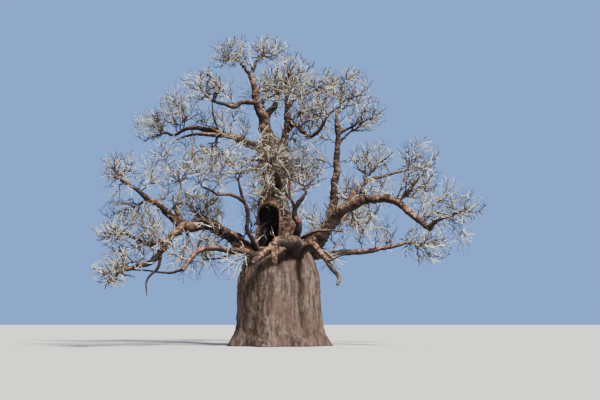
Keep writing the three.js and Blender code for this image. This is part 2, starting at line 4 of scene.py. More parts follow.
import bpy
import numpy as np
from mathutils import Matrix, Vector, noise

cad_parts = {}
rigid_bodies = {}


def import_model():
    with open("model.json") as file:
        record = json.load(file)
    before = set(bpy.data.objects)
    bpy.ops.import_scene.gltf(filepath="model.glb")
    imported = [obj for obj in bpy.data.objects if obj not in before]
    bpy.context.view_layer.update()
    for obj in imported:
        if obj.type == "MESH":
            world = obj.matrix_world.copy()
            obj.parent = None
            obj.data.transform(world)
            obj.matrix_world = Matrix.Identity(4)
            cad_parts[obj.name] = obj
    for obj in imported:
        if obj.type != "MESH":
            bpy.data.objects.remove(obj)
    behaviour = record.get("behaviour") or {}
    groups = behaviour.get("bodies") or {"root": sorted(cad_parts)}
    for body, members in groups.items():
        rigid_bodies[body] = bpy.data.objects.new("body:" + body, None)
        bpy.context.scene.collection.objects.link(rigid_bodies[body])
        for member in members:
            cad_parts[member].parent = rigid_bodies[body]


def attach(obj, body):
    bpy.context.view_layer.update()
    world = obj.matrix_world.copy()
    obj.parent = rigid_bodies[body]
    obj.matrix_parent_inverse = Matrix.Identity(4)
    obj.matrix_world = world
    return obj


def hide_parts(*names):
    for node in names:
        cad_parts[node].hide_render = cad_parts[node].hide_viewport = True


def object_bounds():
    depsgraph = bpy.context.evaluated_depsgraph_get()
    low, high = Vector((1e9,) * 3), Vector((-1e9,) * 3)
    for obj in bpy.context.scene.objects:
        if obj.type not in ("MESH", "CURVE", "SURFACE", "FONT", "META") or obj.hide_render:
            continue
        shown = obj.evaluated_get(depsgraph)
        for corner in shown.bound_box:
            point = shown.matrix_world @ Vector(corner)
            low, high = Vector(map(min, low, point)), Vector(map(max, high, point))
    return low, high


# Bare baobab: a bottle trunk, its boughs and fine bare twigs. Metres, +Z up, the foot of the trunk at 0.
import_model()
cad_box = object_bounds()

# Trunk: height, lean of the centre line to +X, and radius, from the ground to the fork
TRUNK_RINGS = [
    (0.0, 0.0, 3.35), (0.5, 0.0, 3.05), (1.3, 0.0, 2.85), (2.8, -0.05, 2.78), (4.4, -0.05, 2.75),
    (5.5, 0.0, 2.5), (6.2, 0.0, 2.1), (6.9, -0.02, 1.68), (7.8, -0.12, 1.38), (8.9, -0.34, 1.13),
    (10.0, -0.43, 1.02), (11.2, -0.4, 0.84), (12.4, -0.35, 0.82), (13.3, -0.32, 0.9), (13.9, -0.42, 0.8),
    (14.6, -0.8, 0.56), (15.2, -1.05, 0.46), (15.7, -1.1, 0.37),
]
TRUNK_FOLDS = [
    # folds round the trunk: count, depth as a share of the radius, turn, twist per metre of height
    (3, 0.035, 0.6, 0.05),
    (5, 0.03, 2.1, -0.04),
    (11, 0.01, 0.9, 0.16),
]
ROOT_FLARE = {"count": 7, "depth": 0.1, "turn": 0.4, "fade": 1.1}
RIDGES = {"depth": 0.028, "low": 6.6, "full": 7.6, "pitches": (17.0, 27.0)}  # rings round the neck
TRUNK_REACH = 1.1  # widest fold of the trunk, in its radii
TRUNK_CAP = 0.45  # height of the rounded top that the fork grows from
HOLLOW = {"x": -0.72, "half_width": 0.7, "sill": 6.7, "spring": 9.0, "back": 0.1}

# Limbs: radius at root and tip, and the way the middle line runs
LIMBS = {
    "left_great_bough": ((0.5, 0.34), [
        (-1.0, -0.4, 5.7), (-2.4, -1.4, 6.7), (-3.6, -2.0, 7.5), (-4.8, -2.6, 8.0), (-5.9, -3.0, 7.8),
        (-6.7, -3.2, 8.0)]),
    "left_rising_bough": ((0.28, 0.09), [
        (-6.4, -3.1, 7.8), (-7.3, -3.4, 8.7), (-8.4, -3.9, 9.6), (-9.6, -4.4, 10.4), (-10.3, -4.8, 10.8)]),
    "left_dropping_bough": ((0.26, 0.14), [
        (-6.3, -3.1, 7.9), (-7.0, -3.9, 7.0), (-7.4, -4.4, 6.2), (-8.1, -4.9, 5.3), (-8.9, -5.3, 5.1),
        (-9.6, -5.8, 4.8)]),
    "left_middle_limb": ((0.17, 0.09), [
        (-7.1, -4.0, 6.8), (-8.2, -4.6, 6.6), (-8.9, -5.2, 6.8), (-9.5, -5.6, 7.1)]),
    "left_fork_limb": ((0.18, 0.1), [
        (-6.5, -3.1, 8.1), (-6.8, -2.5, 9.4), (-6.7, -1.8, 10.5)]),
    "left_lower_bough": ((0.26, 0.14), [
        (-1.1, -1.2, 5.6), (-2.2, -2.6, 6.2), (-3.5, -3.4, 6.3), (-4.7, -4.2, 6.3), (-5.5, -5.0, 5.6),
        (-5.9, -5.6, 4.8)]),
    "left_upright_limb": ((0.2, 0.1), [
        (-1.3, -1.0, 6.2), (-2.0, -2.3, 7.6), (-2.1, -2.6, 8.8), (-2.4, -2.8, 9.8), (-2.6, -3.0, 10.6)]),
    "left_reaching_limb": ((0.13, 0.07), [
        (-2.3, -2.8, 9.6), (-3.1, -3.4, 10.0), (-3.9, -4.0, 9.9), (-4.4, -4.5, 10.1), (-4.8, -4.9, 10.2)]),
    "upper_left_bough": ((0.33, 0.1), [
        (-0.7, 0.0, 13.5), (-2.2, 0.4, 14.3), (-3.8, 0.9, 15.0), (-5.4, 1.4, 15.5), (-6.7, 1.9, 15.7),
        (-7.8, 2.3, 15.3), (-8.3, 2.6, 15.4)]),
    "crown_left_stem": ((0.34, 0.18), [
        (-1.1, 0.0, 15.0), (-1.15, -0.1, 15.9), (-1.45, -0.3, 16.6), (-1.7, -0.45, 17.4),
        (-1.8, -0.5, 18.1), (-2.1, -0.4, 19.1)]),
    "top_left_limb": ((0.14, 0.08), [
        (-2.05, -0.4, 18.95), (-2.75, -0.8, 19.8), (-3.3, -1.1, 19.95), (-3.9, -1.3, 19.85)]),
    "top_right_limb": ((0.15, 0.09), [
        (-2.05, -0.4, 18.95), (-1.85, -0.25, 19.8), (-1.45, 0.0, 20.5)]),
    "level_bough": ((0.19, 0.11), [
        (-1.6, -0.4, 17.0), (-2.6, -1.0, 16.9), (-3.2, -1.5, 16.45), (-3.9, -2.1, 16.5),
        (-4.6, -2.6, 16.6)]),
    "crown_back_bough": ((0.28, 0.17), [
        (-1.0, 0.1, 15.2), (-0.95, 0.5, 16.1), (-0.65, 1.1, 16.9), (-0.3, 1.9, 17.6), (-0.2, 2.7, 18.3)]),
    "crown_centre_stem": ((0.34, 0.13), [
        (0.0, 0.1, 12.9), (0.38, 0.1, 14.3), (0.5, 0.0, 15.8), (0.55, -0.2, 17.1), (0.42, -0.5, 18.0)]),
    "right_high_limb": ((0.14, 0.08), [
        (0.54, -0.1, 16.7), (1.2, 0.0, 17.5), (1.9, 0.1, 17.8), (2.4, 0.3, 18.1)]),
    "crown_right_bough": ((0.22, 0.1), [
        (0.46, 0.05, 15.1), (1.1, -0.6, 15.4), (1.7, -1.2, 14.7), (2.1, -1.6, 14.3), (2.8, -2.0, 14.7),
        (3.2, -2.4, 15.3)]),
    "tall_right_stem": ((0.42, 0.19), [
        (1.2, 0.7, 5.8), (3.0, 2.5, 7.5), (3.8, 3.4, 9.7), (4.0, 3.6, 11.4), (4.2, 3.6, 13.3),
        (4.3, 3.5, 15.4), (4.2, 3.4, 16.4)]),
    "right_great_bough": ((0.46, 0.17), [
        (1.0, 0.2, 6.0), (3.0, -0.5, 7.6), (4.5, -1.1, 9.2), (6.3, -1.8, 9.9), (8.0, -2.5, 9.6),
        (8.9, -3.0, 8.6), (10.1, -3.4, 7.6)]),
    "right_reaching_bough": ((0.18, 0.08), [
        (9.95, -3.35, 7.7), (10.5, -3.8, 8.2), (11.3, -4.2, 8.5)]),
    "right_upper_bough": ((0.2, 0.1), [
        (4.5, -1.1, 9.2), (5.2, 0.4, 10.6), (6.4, 1.8, 11.7), (8.1, 2.4, 12.4), (9.2, 2.8, 12.7)]),
    "right_low_bough": ((0.34, 0.12), [
        (0.9, 1.0, 5.9), (3.3, 3.2, 6.5), (5.6, 4.2, 6.8), (8.3, 4.8, 7.2), (9.6, 5.0, 7.6)]),
    "front_bough": ((0.56, 0.17), [
        (1.2, -1.0, 6.1), (1.1, -2.8, 6.8), (0.1, -3.6, 6.7), (-0.6, -4.1, 6.2), (-1.2, -4.5, 5.7),
        (-1.6, -4.8, 5.3)]),
    "front_stub": ((0.24, 0.18), [
        (-0.3, -3.9, 6.4), (-0.2, -4.5, 5.8), (-0.2, -4.7, 5.2)]),
    "front_right_bough": ((0.28, 0.12), [
        (1.2, -1.3, 5.9), (2.2, -3.0, 6.6), (2.9, -4.0, 5.9), (3.5, -4.6, 5.0), (3.9, -5.0, 4.4),
        (3.8, -5.2, 3.9)]),
    "centre_upright_limb": ((0.32, 0.14), [
        (1.1, -0.8, 6.4), (1.3, -2.3, 7.8), (1.1, -2.6, 8.6), (1.2, -2.8, 9.3), (1.7, -3.0, 9.9)]),
    "back_left_bough": ((0.44, 0.17), [
        (-0.7, 0.5, 5.7), (-2.9, 2.5, 7.4), (-4.7, 4.4, 8.8), (-6.0, 5.9, 9.6)]),
    "back_centre_bough": ((0.42, 0.17), [
        (-0.1, 0.3, 8.0), (-0.1, 2.6, 10.1), (0.4, 4.6, 11.5), (0.8, 6.2, 12.6)]),
    "back_right_bough": ((0.42, 0.17), [
        (0.7, 1.2, 5.9), (2.2, 3.6, 7.6), (3.6, 6.0, 8.7), (4.8, 7.6, 9.6)]),
    "front_high_bough": ((0.3, 0.13), [
        (-0.2, 0.0, 10.6), (0.0, -1.6, 11.0), (-0.1, -3.2, 11.5), (-0.4, -4.4, 11.8)]),
}
RING_SPACING = 1.05  # between the coarse rings that the lumps and the twig masses are placed by
COLLAR = {"swell": 0.3, "reach": 1.6}  # swelling of a limb at its root, reach in root radii
LUMPS = 0.06  # uneven thickness along a limb, as a share of its radius
LUMP_SEED = 4711

# Small bare limbs between the boughs
SMALL_LIMBS = {
    "left_drooping_limb": ((0.13, 0.04), [
        (-7.5, -4.5, 6.1), (-7.6, -4.6, 5.1), (-8.2, -4.8, 4.4), (-8.3, -4.9, 3.6), (-8.2, -5.0, 3.2)]),
    "right_slender_limb": ((0.17, 0.05), [
        (0.9, -0.9, 6.9), (1.7, -1.6, 7.3), (2.7, -2.4, 7.6), (3.5, -3.0, 7.6), (4.3, -3.5, 7.5)]),
    "level_riser": ((0.14, 0.06), [
        (-4.5, -2.5, 16.6), (-4.3, -2.4, 17.2), (-4.2, -2.6, 17.6), (-4.8, -2.9, 18.3), (-5.2, -3.0, 18.4)]),
    "upper_left_strand": ((0.2, 0.07), [
        (-3.2, 0.7, 14.8), (-4.4, 0.3, 14.8), (-5.6, 0.1, 14.9), (-6.6, -0.1, 14.7), (-7.4, -0.3, 14.3)]),
    "trunk_left_limb": ((0.17, 0.05), [
        (-0.6, -0.3, 12.6), (-1.5, -0.9, 12.3), (-2.4, -1.5, 11.8), (-3.2, -2.0, 11.6), (-3.9, -2.4, 11.8)]),
    "trunk_left_twin": ((0.13, 0.04), [
        (-0.7, -0.3, 12.9), (-2.1, -0.8, 12.8), (-3.0, -1.4, 12.4), (-3.9, -2.0, 12.7)]),
    "front_right_spur": ((0.09, 0.03), [
        (3.1, -4.2, 5.6), (3.4, -4.7, 5.5), (3.9, -5.0, 5.7), (4.4, -5.4, 5.9)]),
    "upper_left_riser": ((0.1, 0.04), [
        (-4.43, 1.1, 15.3), (-4.7, 0.9, 16.1), (-4.9, 0.7, 16.8), (-4.9, 0.6, 17.5)]),
    "left_level_limb": ((0.1, 0.04), [
        (-5.9, -5.4, 4.9), (-6.9, -4.6, 4.7), (-8.4, -4.4, 4.9), (-9.8, -4.6, 4.9)]),
    "left_hanging_limb": ((0.09, 0.03), [
        (-2.6, -2.7, 6.2), (-3.8, -3.0, 5.8), (-5.0, -3.4, 5.65)]),
    "tall_stem_side_limb": ((0.12, 0.05), [
        (4.3, 3.5, 15.6), (4.9, 3.3, 15.9), (5.6, 3.1, 16.25), (6.3, 3.0, 16.8)]),
    "centre_fork_limb": ((0.12, 0.05), [
        (1.25, -2.75, 9.0), (0.85, -2.9, 9.6), (0.45, -3.1, 10.3)]),
    "front_crossing_limb": ((0.1, 0.03), [
        (1.15, -2.65, 8.9), (0.8, -2.9, 9.9), (0.7, -2.8, 11.2), (0.1, -2.8, 12.2), (-1.0, -3.0, 12.9)]),
}

# Twig masses: limb and place along it, middle and half sizes of the space each keeps to
MASSES = {
    "crown_left_twigs": ("top_left_limb", 1, (-3.6, -1.2, 20.4), (1.6, 1.9, 1.3)),
    "crown_top_twigs": ("top_right_limb", 1, (-0.8, 0.5, 21.2), (1.9, 2.1, 1.3)),
    "level_twigs": ("level_bough", 1, (-5.2, -2.9, 17.6), (1.6, 1.9, 1.4)),
    "crown_back_twigs": ("crown_back_bough", 1, (-0.4, 3.6, 19.7), (2.1, 2.1, 1.7)),
    "crown_centre_twigs": ("crown_centre_stem", 1, (1.0, -1.0, 19.2), (1.8, 1.8, 1.5)),
    "crown_right_twigs": ("right_high_limb", 1, (3.2, 0.8, 18.6), (1.5, 1.8, 1.6)),
    "inner_right_twigs": ("crown_right_bough", 1, (3.4, -3.0, 16.4), (1.3, 1.5, 1.5)),
    "tall_top_twigs": ("tall_right_stem", 1, (5.1, 3.8, 19.4), (2.1, 2.1, 1.8)),
    "tall_side_twigs": ("tall_right_stem", 0.86, (6.5, 3.0, 17.1), (1.7, 2.1, 1.6)),
    "upper_left_outer_twigs": ("upper_left_bough", 1, (-9.7, 3.0, 16.2), (1.7, 2.1, 1.4)),
    "upper_left_top_twigs": ("upper_left_bough", 0.84, (-7.3, 1.4, 17.2), (1.8, 1.9, 1.4)),
    "upper_left_under_twigs": ("upper_left_bough", 0.52, (-5.1, 1.8, 13.5), (1.9, 1.8, 1.3)),
    "left_fan_twigs": ("left_fork_limb", 1, (-7.4, -0.6, 12.8), (2.2, 2.1, 2.2)),
    "left_tip_twigs": ("left_rising_bough", 1, (-10.2, -4.9, 11.5), (1.5, 1.9, 1.4)),
    "left_shoulder_twigs": ("left_rising_bough", 0.5, (-10.4, -2.9, 8.7), (1.6, 1.8, 1.4)),
    "left_middle_twigs": ("left_middle_limb", 1, (-10.4, -5.7, 7.2), (1.4, 1.7, 1.0)),
    "left_low_twigs": ("left_dropping_bough", 1, (-10.2, -6.1, 4.7), (1.4, 1.8, 1.2)),
    "left_reach_twigs": ("left_reaching_limb", 1, (-4.9, -5.3, 11.6), (1.5, 1.8, 1.7)),
    "left_upright_twigs": ("left_upright_limb", 1, (-2.8, -3.2, 12.2), (1.4, 1.5, 1.6)),
    "right_tip_twigs": ("right_reaching_bough", 1, (12.0, -4.9, 8.8), (1.6, 1.9, 1.5)),
    "right_riser_twigs": ("right_great_bough", 0.74, (9.6, -2.8, 11.2), (1.4, 1.6, 1.7)),
    "right_upper_twigs": ("right_upper_bough", 1, (10.3, 3.5, 13.9), (1.9, 2.0, 1.7)),
    "right_inner_twigs": ("right_upper_bough", 0.5, (6.7, 1.2, 13.5), (1.9, 1.9, 1.5)),
    "right_low_twigs": ("right_low_bough", 1, (11.2, 5.6, 7.5), (2.2, 2.2, 1.9)),
    "centre_twigs": ("centre_upright_limb", 1, (2.0, -3.6, 11.8), (1.5, 1.7, 2.0)),
    "front_high_twigs": ("front_high_bough", 1, (-0.5, -5.6, 12.2), (1.7, 1.8, 1.8)),
    "back_left_twigs": ("back_left_bough", 1, (-6.7, 7.3, 10.7), (2.5, 2.5, 1.9)),
    "back_centre_twigs": ("back_centre_bough", 1, (1.2, 7.9, 13.9), (2.4, 2.5, 2.1)),
    "back_right_twigs": ("back_right_bough", 1, (5.8, 9.1, 10.7), (2.5, 2.5, 2.0)),
}
TWIG = {
    "seed": 66,
    "tips": 13,  # tips that the rule aims for with the main twigs of each mass
    "tip_radius": 0.028,
    "turning": 0.45,  # share of a twig's length for which it keeps its parent's heading
    "lift": 0.12,  # upward curl of a twig, as a share of its length
    "scatter": 0.22,  # unevenness of the tips, as a share of the half sizes
    "inner_tip": 0.55,  # every fourth tip lies this far out from the middle
    "backward": 0.7,  # how strongly a twig avoids growing back along its parent
    "direct": 0.5,  # how strongly it avoids a roundabout way from the foot of its mass
    "clearance": 0.03,  # kept free round every other limb and twig
}
STEM = {
    "thickness": 0.84,  # at its foot, as a share of its limb's radius there
    "side_thickness": 0.52,  # the same where it leaves a limb's side
    "reach": 0.3,  # least share of the way from its foot to the middle of the space
    "entry": 1.1,  # a foot outside the space is carried in, to where this many half sizes are left
    "leaving": 0.4,  # share of the limb's own heading in a stem that leaves a limb's side
    "bend": 0.25,  # where the stem bends, as a share of the way to the middle of the space
    "joints": (0.6, 1),  # where twigs spring from the stem
}
TWIG_JOINTS = (0.5, 1)  # where main twigs spring from a twig: its bend and its end

# Main twigs: points along each, crookedness, thickness of the tip as a share of the root's, least radius
MAIN = {"points": 10, "crooked": 0.045, "taper": 0.62, "thinnest": 0.02}
# Finer twigs, level by level, in the same words. They also have tips for each square metre of a mass seen
# from one side, the share of them that lie anywhere in the space, and the scatter of the others round the
# coarser twigs.
FINER = [
    {"tips": 16, "points": 7, "loose": 0.95, "spread": 0.5, "crooked": 0.04, "taper": 0.5,
     "thinnest": 0.013},
    {"tips": 38, "points": 4, "loose": 0.7, "spread": 0.4, "crooked": 0.05, "taper": 0.55,
     "thinnest": 0.0105},
    {"tips": 58, "points": 2, "loose": 0.25, "spread": 0.28, "crooked": 0.0, "taper": 0.6,
     "thinnest": 0.0085},
]
DENSITY = {
    # finer twigs of some masses, as a share of the usual number
    "front_high_twigs": 0.35, "centre_twigs": 0.6, "left_fan_twigs": 0.75, "right_tip_twigs": 0.65,
    "right_upper_twigs": 0.75, "right_inner_twigs": 0.8, "tall_top_twigs": 1.35, "tall_side_twigs": 1.35,
    "left_low_twigs": 1.4, "left_middle_twigs": 1.3, "upper_left_outer_twigs": 1.1,
}
RAGGED = {
    # uneven edge of a mass: how deep, the shift from mass to mass, and direction and pitch of each wave
    "depth": 0.22, "shift": 3.0,
    "waves": [((1.0, 0.3, -0.2), 5.0), ((-0.3, 1.0, 0.5), 6.5), ((0.4, -0.5, 1.0), 8.0)],
}
FINER_CURVE = {"turning": 0.3, "lift": 0.03}  # finer twigs are straighter than main ones
FORWARD = 1.8  # how strongly a finer twig keeps to its parent's heading
TUBE_SIDES = (6, 4, 3, 3)  # for the main twigs and each finer level
FINE_TIP = 0.012  # radius at the root of a twig that carries its own tip only
THICKENING = 0.46  # a twig that carries n tips is n to this power times as thick as a tip
NARROWING = 0.88  # thickest root of a twig, as a share of its parent's thickness there
SHORTEST = 0.06  # a finer twig is at least this long
FEWEST = 4  # tips that a space aims for at least on each finer level
BRANCHLETS, SMALL_SPRAYS = 1, 2  # the finer levels that branchlets and small sprays begin on
UNDEALT = -1  # tint of a twig before it has one
NO_PARENT = -1
CROWDING = 0.38  # the lower, the nearer to the edge of their space loose tips are
WIDE = 1.7  # mean half size from which a space has the full scatter of tips
NEARBY = 0.3  # limbs up to this far from a space can be in its twigs' way


# Vectors are rows of numpy arrays
def dot(a, b):
    return np.sum(a * b, axis=-1)


def length(a):
    return np.sqrt(dot(a, a))


def unit(a):
    return a / np.maximum(length(a), 1e-9)[..., None]


def mix(a, b, share):
    return a + (b - a) * share


def seeded_numbers(seed):
    """Seeded numbers from 0 to 1, the same ones that the solids are grown with."""
    whole = 0xFFFFFFFF
    state = seed & whole
    while True:
        state = (state + 0x6D2B79F5) & whole
        t = ((state ^ (state >> 15)) * (state | 1)) & whole
        t ^= (t + (((t ^ (t >> 7)) * (t | 61)) & whole)) & whole
        yield (t ^ (t >> 14)) / (whole + 1)


def smooth_way(points, spacing):
    """Smooth way through all the points, and the place of each of its own points along them."""
    points = np.array(points, float)
    padded = np.vstack([2 * points[0] - points[1], points, 2 * points[-1] - points[-2]])
    way, places = [], []
    for i in range(len(points) - 1):
        p0, p1, p2, p3 = padded[i:i + 4]
        steps = max(1, math.floor(length(p2 - p1) / spacing + 0.5))
        for k in range(steps):
            t = k / steps
            way.append(0.5 * (2 * p1 + (p2 - p0) * t + (2 * p0 - 5 * p1 + 4 * p2 - p3) * t * t
                              + (3 * p1 - p0 - 3 * p2 + p3) * t ** 3))
            places.append(i + t)
    way.append(points[-1])
    places.append(len(points) - 1)
    return np.array(way), np.array(places)


def gone_along(line):
    """Length of the line up to each of its points."""
    return np.concatenate([[0.0], np.cumsum(length(np.diff(line, axis=0)))])


def stretch_distance(p1, q1, p2, q2):
    """Least distance between the stretches p1-q1 and p2-q2."""
    d1, d2, r = q1 - p1, q2 - p2, p1 - p2
    a, e, f, c, b = dot(d1, d1), dot(d2, d2), dot(d2, r), dot(d1, r), dot(d1, d2)
    denominator = a * e - b * b
    s = np.where(denominator > 1e-12, np.clip((b * f - c * e) / np.maximum(denominator, 1e-12), 0, 1), 0)
    t = (b * s + f) / e
    s = np.where(t < 0, np.clip(-c / a, 0, 1), s)
    s = np.where(t > 1, np.clip((b - c) / a, 0, 1), s)
    t = np.clip(t, 0, 1)
    return length(p1 + d1 * s[..., None] - p2 - d2 * t[..., None])


# Limbs as lines with a thickness
def limb_radii(line, lumps, radii):
    gone = gone_along(line)
    root, tip = radii
    plain = root + (tip - root) * gone / gone[-1]
    return plain * (1 + COLLAR["swell"] * np.exp(-gone / (COLLAR["reach"] * root))) * lumps


def measure_limbs(limbs, seed):
    """Coarse line, radii and lumps of every limb, drawn as for the solids."""
    draw = seeded_numbers(seed)
    measured = {}
    for name, (radii, points) in limbs.items():
        line, places = smooth_way(points, RING_SPACING)
        lumps = np.ones(len(line))
        lumps[1:-1] = [1 + LUMPS * (2 * next(draw) - 1) for _ in lumps[1:-1]]
        measured[name] = {
            "ends": radii, "points": points, "line": line, "places": places, "lumps": lumps,
            "radii": limb_radii(line, lumps, radii),
        }
    return measured


def place_on_limb(limb, share):
    """Point, heading and radius at a share of a limb's length."""
    line, radii = limb["line"], limb["radii"]
    place = share * (len(line) - 1)
    i = min(math.floor(place), len(line) - 2)
    heading = unit(line[i + 1] - line[i])
    return mix(line[i], line[i + 1], place - i), heading, mix(radii[i], radii[i + 1], place - i)


def rods_along(line, radii):
    """Rods that stand for a limb when twigs look for free space: ends and radius."""
    return np.column_stack([line[:-1], line[1:], np.maximum(radii[:-1], radii[1:])])


# Twig masses, grown by the rule of the solids
def outness(points, space):
    return length((points - space["middle"]) / space["half"])


def ragged_edge(points, space):
    """How far out the finer twigs reach towards each of the points, as a share of the half sizes."""
    out = unit((points - space["middle"]) / space["half"])
    waves = sum(np.sin(dot(out, np.array(way)) * pitch + RAGGED["shift"] * space["middle"].sum())
                for way, pitch in RAGGED["waves"])
    return 1 - RAGGED["depth"] * (0.5 + 0.5 * waves / len(RAGGED["waves"]))


def bend_of(start, heading, tip, curve=TWIG):
    """The middle of a twig that leaves along its parent's heading and curls up to its tip."""
    reach = length(tip - start)[..., None]
    bend = mix((start + tip) / 2, start + heading * reach * 0.5, curve["turning"])
    return bend - np.array([0, 0, curve["lift"]]) * reach


def aim_main_tips(space, draw):
    """Tips spread evenly over the space, most of them at its edge."""
    tips = []
    for i in range(TWIG["tips"]):
        height = 1 - (2 * (i + 0.5)) / TWIG["tips"]
        turn = i * math.pi * (3 - math.sqrt(5))
        flat = math.sqrt(1 - height * height)
        out = np.array([flat * math.cos(turn), flat * math.sin(turn), height])
        depth = TWIG["inner_tip"] if i % 4 == 3 else 1 - 0.5 * TWIG["scatter"] * next(draw)
        uneven = np.array([TWIG["scatter"] * (next(draw) - 0.5) for _ in range(3)])
        offset = space["half"] * depth * (out + uneven)
        tips.append(space["middle"] + offset / max(1, outness(space["middle"] + offset, space)))
    return tips


def grow_stem(space, foot, heading, at_end):
    inward = space["middle"] - foot
    reach = max(STEM["reach"], 1 - STEM["entry"] / outness(foot, space))
    tip = foot + inward * reach
    sideways = unit(STEM["leaving"] * heading + unit(inward))
    ahead = foot + (heading if at_end else sideways) * length(inward) * STEM["bend"]
    return np.array([foot, mix(mix(foot, tip, 0.5), ahead, TWIG["turning"]), tip])


def best_main_joint(twigs, tip):
    """The place where a new twig would turn least and be shortest on its way to the tip."""
    best = None
    for parent, twig in enumerate(twigs):
        root, bend, end = twig["way"]
        for place in (STEM["joints"] if parent == 0 else TWIG_JOINTS):
            point = end if place == 1 else mix(bend, end, 2 * place - 1)
            heading = unit(end - bend) if place == 1 else unit(end - root)
            gone = twig["gone"] + length(point - root)
            cost = length(tip - point) * (1 + TWIG["backward"] * (1 - dot(heading, unit(tip - point))))
            cost += TWIG["direct"] * gone
            if best is None or cost < best[0]:
                best = (cost, parent, place, point, heading, gone)
    return best[1:]


def grow_main_twigs(space, seed, limb, at, obstacles):
    draw = seeded_numbers(seed)
    foot, heading, radius = place_on_limb(limb, at)
    stem = grow_stem(space, foot, heading, at == 1)
    twigs = [{"way": stem, "parent": NO_PARENT, "place": 0, "gone": 0}]
    near = TWIG["tip_radius"] * 2 + obstacles[:, 6] + TWIG["clearance"]
    for tip in sorted(aim_main_tips(space, draw), key=lambda aim: length(aim - stem[2])):
        parent, place, point, heading, gone = best_main_joint(twigs, tip)
        way = np.array([point, bend_of(point, heading, tip), tip])
        clear = all(np.all(stretch_distance(a, b, obstacles[:, :3], obstacles[:, 3:6]) > near)
                    for a, b in zip(way, way[1:]))
        if clear and outness(way[1], space) < 1:
            twigs.append({"way": way, "parent": parent, "place": place, "gone": gone})
    return twigs, radius


# Finer twigs
def crooked_ways(roots, bends, tips, points, crooked, random):
    """Lines from roots through bends to tips, with crooks that vanish at both ends."""
    t = np.linspace(0, 1, points)[None, :, None]
    ways = (roots[:, None] * (1 - t) * (1 - 2 * t) + bends[:, None] * 4 * t * (1 - t)
            + tips[:, None] * t * (2 * t - 1))
    reach = length(tips - roots)[:, None, None]
    return ways + random.normal(size=ways.shape) * reach * crooked * np.sqrt(np.sin(np.pi * t))


def joints_on(grown):
    """Every place where a finer twig may spring: point, heading, level, twig and point along it."""
    rows = []
    for level, layer in enumerate(grown):
        ways = layer["ways"]
        ahead = np.concatenate([ways[:, 2:], 2 * ways[:, -1:] - ways[:, -2:-1]], axis=1)
        heading = unit(ahead - ways[:, :-1])
        twig, point = np.indices(heading.shape[:2])
        rows.append([ways[:, 1:].reshape(-1, 3), heading.reshape(-1, 3), np.full(twig.size, level),
                     twig.ravel(), point.ravel() + 1])
    return [np.concatenate(column) for column in zip(*rows)]


def aim_finer_tips(space, count, coarser, level, random):
    """Tips for the next finer twigs: some anywhere in the space, most round the coarser twigs."""
    out = unit(random.normal(size=(count, 3)))
    anywhere = space["middle"] + space["half"] * out * random.uniform(size=(count, 1)) ** CROWDING
    round_points = coarser[:, 1:].reshape(-1, 3)
    picked = round_points[random.integers(len(round_points), size=count)]
    around = picked + random.normal(size=(count, 3)) * level["spread"] * space["room"]
    loose = random.uniform(size=count) < level["loose"]
    tips = np.where(loose[:, None], anywhere, around)
    return tips[outness(tips, space) < ragged_edge(tips, space)]


def distance_to_rods(points, rods):
    """How far each point is from the middle line of each rod."""
    start, along = rods[:, :3], rods[:, 3:6] - rods[:, :3]
    t = np.clip(dot(points - start, along) / dot(along, along), 0, 1)
    return length(points - start - along * t[..., None])


def clear_of_rods(ways, rods):
    """Which twigs keep clear of the limbs, past their roots."""
    return np.all(distance_to_rods(ways[:, 1:, None], rods) > rods[:, 6], axis=(1, 2))


def near_rods(space, rods):
    """The rods that come near a space."""
    return rods[distance_to_rods(space["middle"], rods) < space["half"].max() + NEARBY + rods[:, 6]]


def cheapest_joints(points, headings, tips):
    """For each tip the joint where a twig would turn least and be shortest."""
    to_tip = tips[:, None].astype(np.float32) - points[None].astype(np.float32)
    far = np.sqrt(np.einsum("tjk,tjk->tj", to_tip, to_tip)) + 1e-6
    ahead = np.einsum("tjk,jk->tj", to_tip, headings.astype(np.float32)) / far
    return np.argmin(far * (1 + FORWARD * (1 - ahead)), axis=1)


def layer_of(ways, parents, level):
    """Twigs of one level. A parent is given as its level, its number there and a point along it."""
    return {"ways": ways, "parent": parents, "taper": level["taper"], "thinnest": level["thinnest"]}


def grow_finer_twigs(space, grown, rods, random, share):
    """Carries a space's twigs on to finer ones, each level joined to the best places on what has grown."""
    broadside = math.pi * np.prod(space["half"]) ** (2 / 3)
    for level in FINER:
        points, headings, *ids = joints_on(grown)
        count = max(FEWEST, round(level["tips"] * broadside * share))
        coarser = next(layer["ways"] for layer in reversed(grown) if len(layer["ways"]))
        tips = aim_finer_tips(space, count, coarser, level, random)
        best = cheapest_joints(points, headings, tips)
        roots = points[best]
        bends = bend_of(roots, headings[best], tips, FINER_CURVE)
        ways = crooked_ways(roots, bends, tips, level["points"], level["crooked"], random)
        keep = (length(tips - roots) > SHORTEST) & (outness(bends, space) < 1)
        keep &= clear_of_rods(ways, rods)
        grown.append(layer_of(ways[keep], np.column_stack([column[best][keep] for column in ids]), level))


def count_tips(grown):
    """How many tips each twig carries, itself included."""
    carried = [np.ones(len(layer["ways"])) for layer in grown]
    for level in range(len(grown) - 1, 0, -1):
        parents = grown[level]["parent"]
        for coarser in range(level):
            joined = parents[:, 0] == coarser
            np.add.at(carried[coarser], parents[joined, 1], carried[level][joined])
    for i in range(len(carried[0]) - 1, 0, -1):
        carried[0][grown[0]["parent"][i, 1]] += carried[0][i]
    return carried


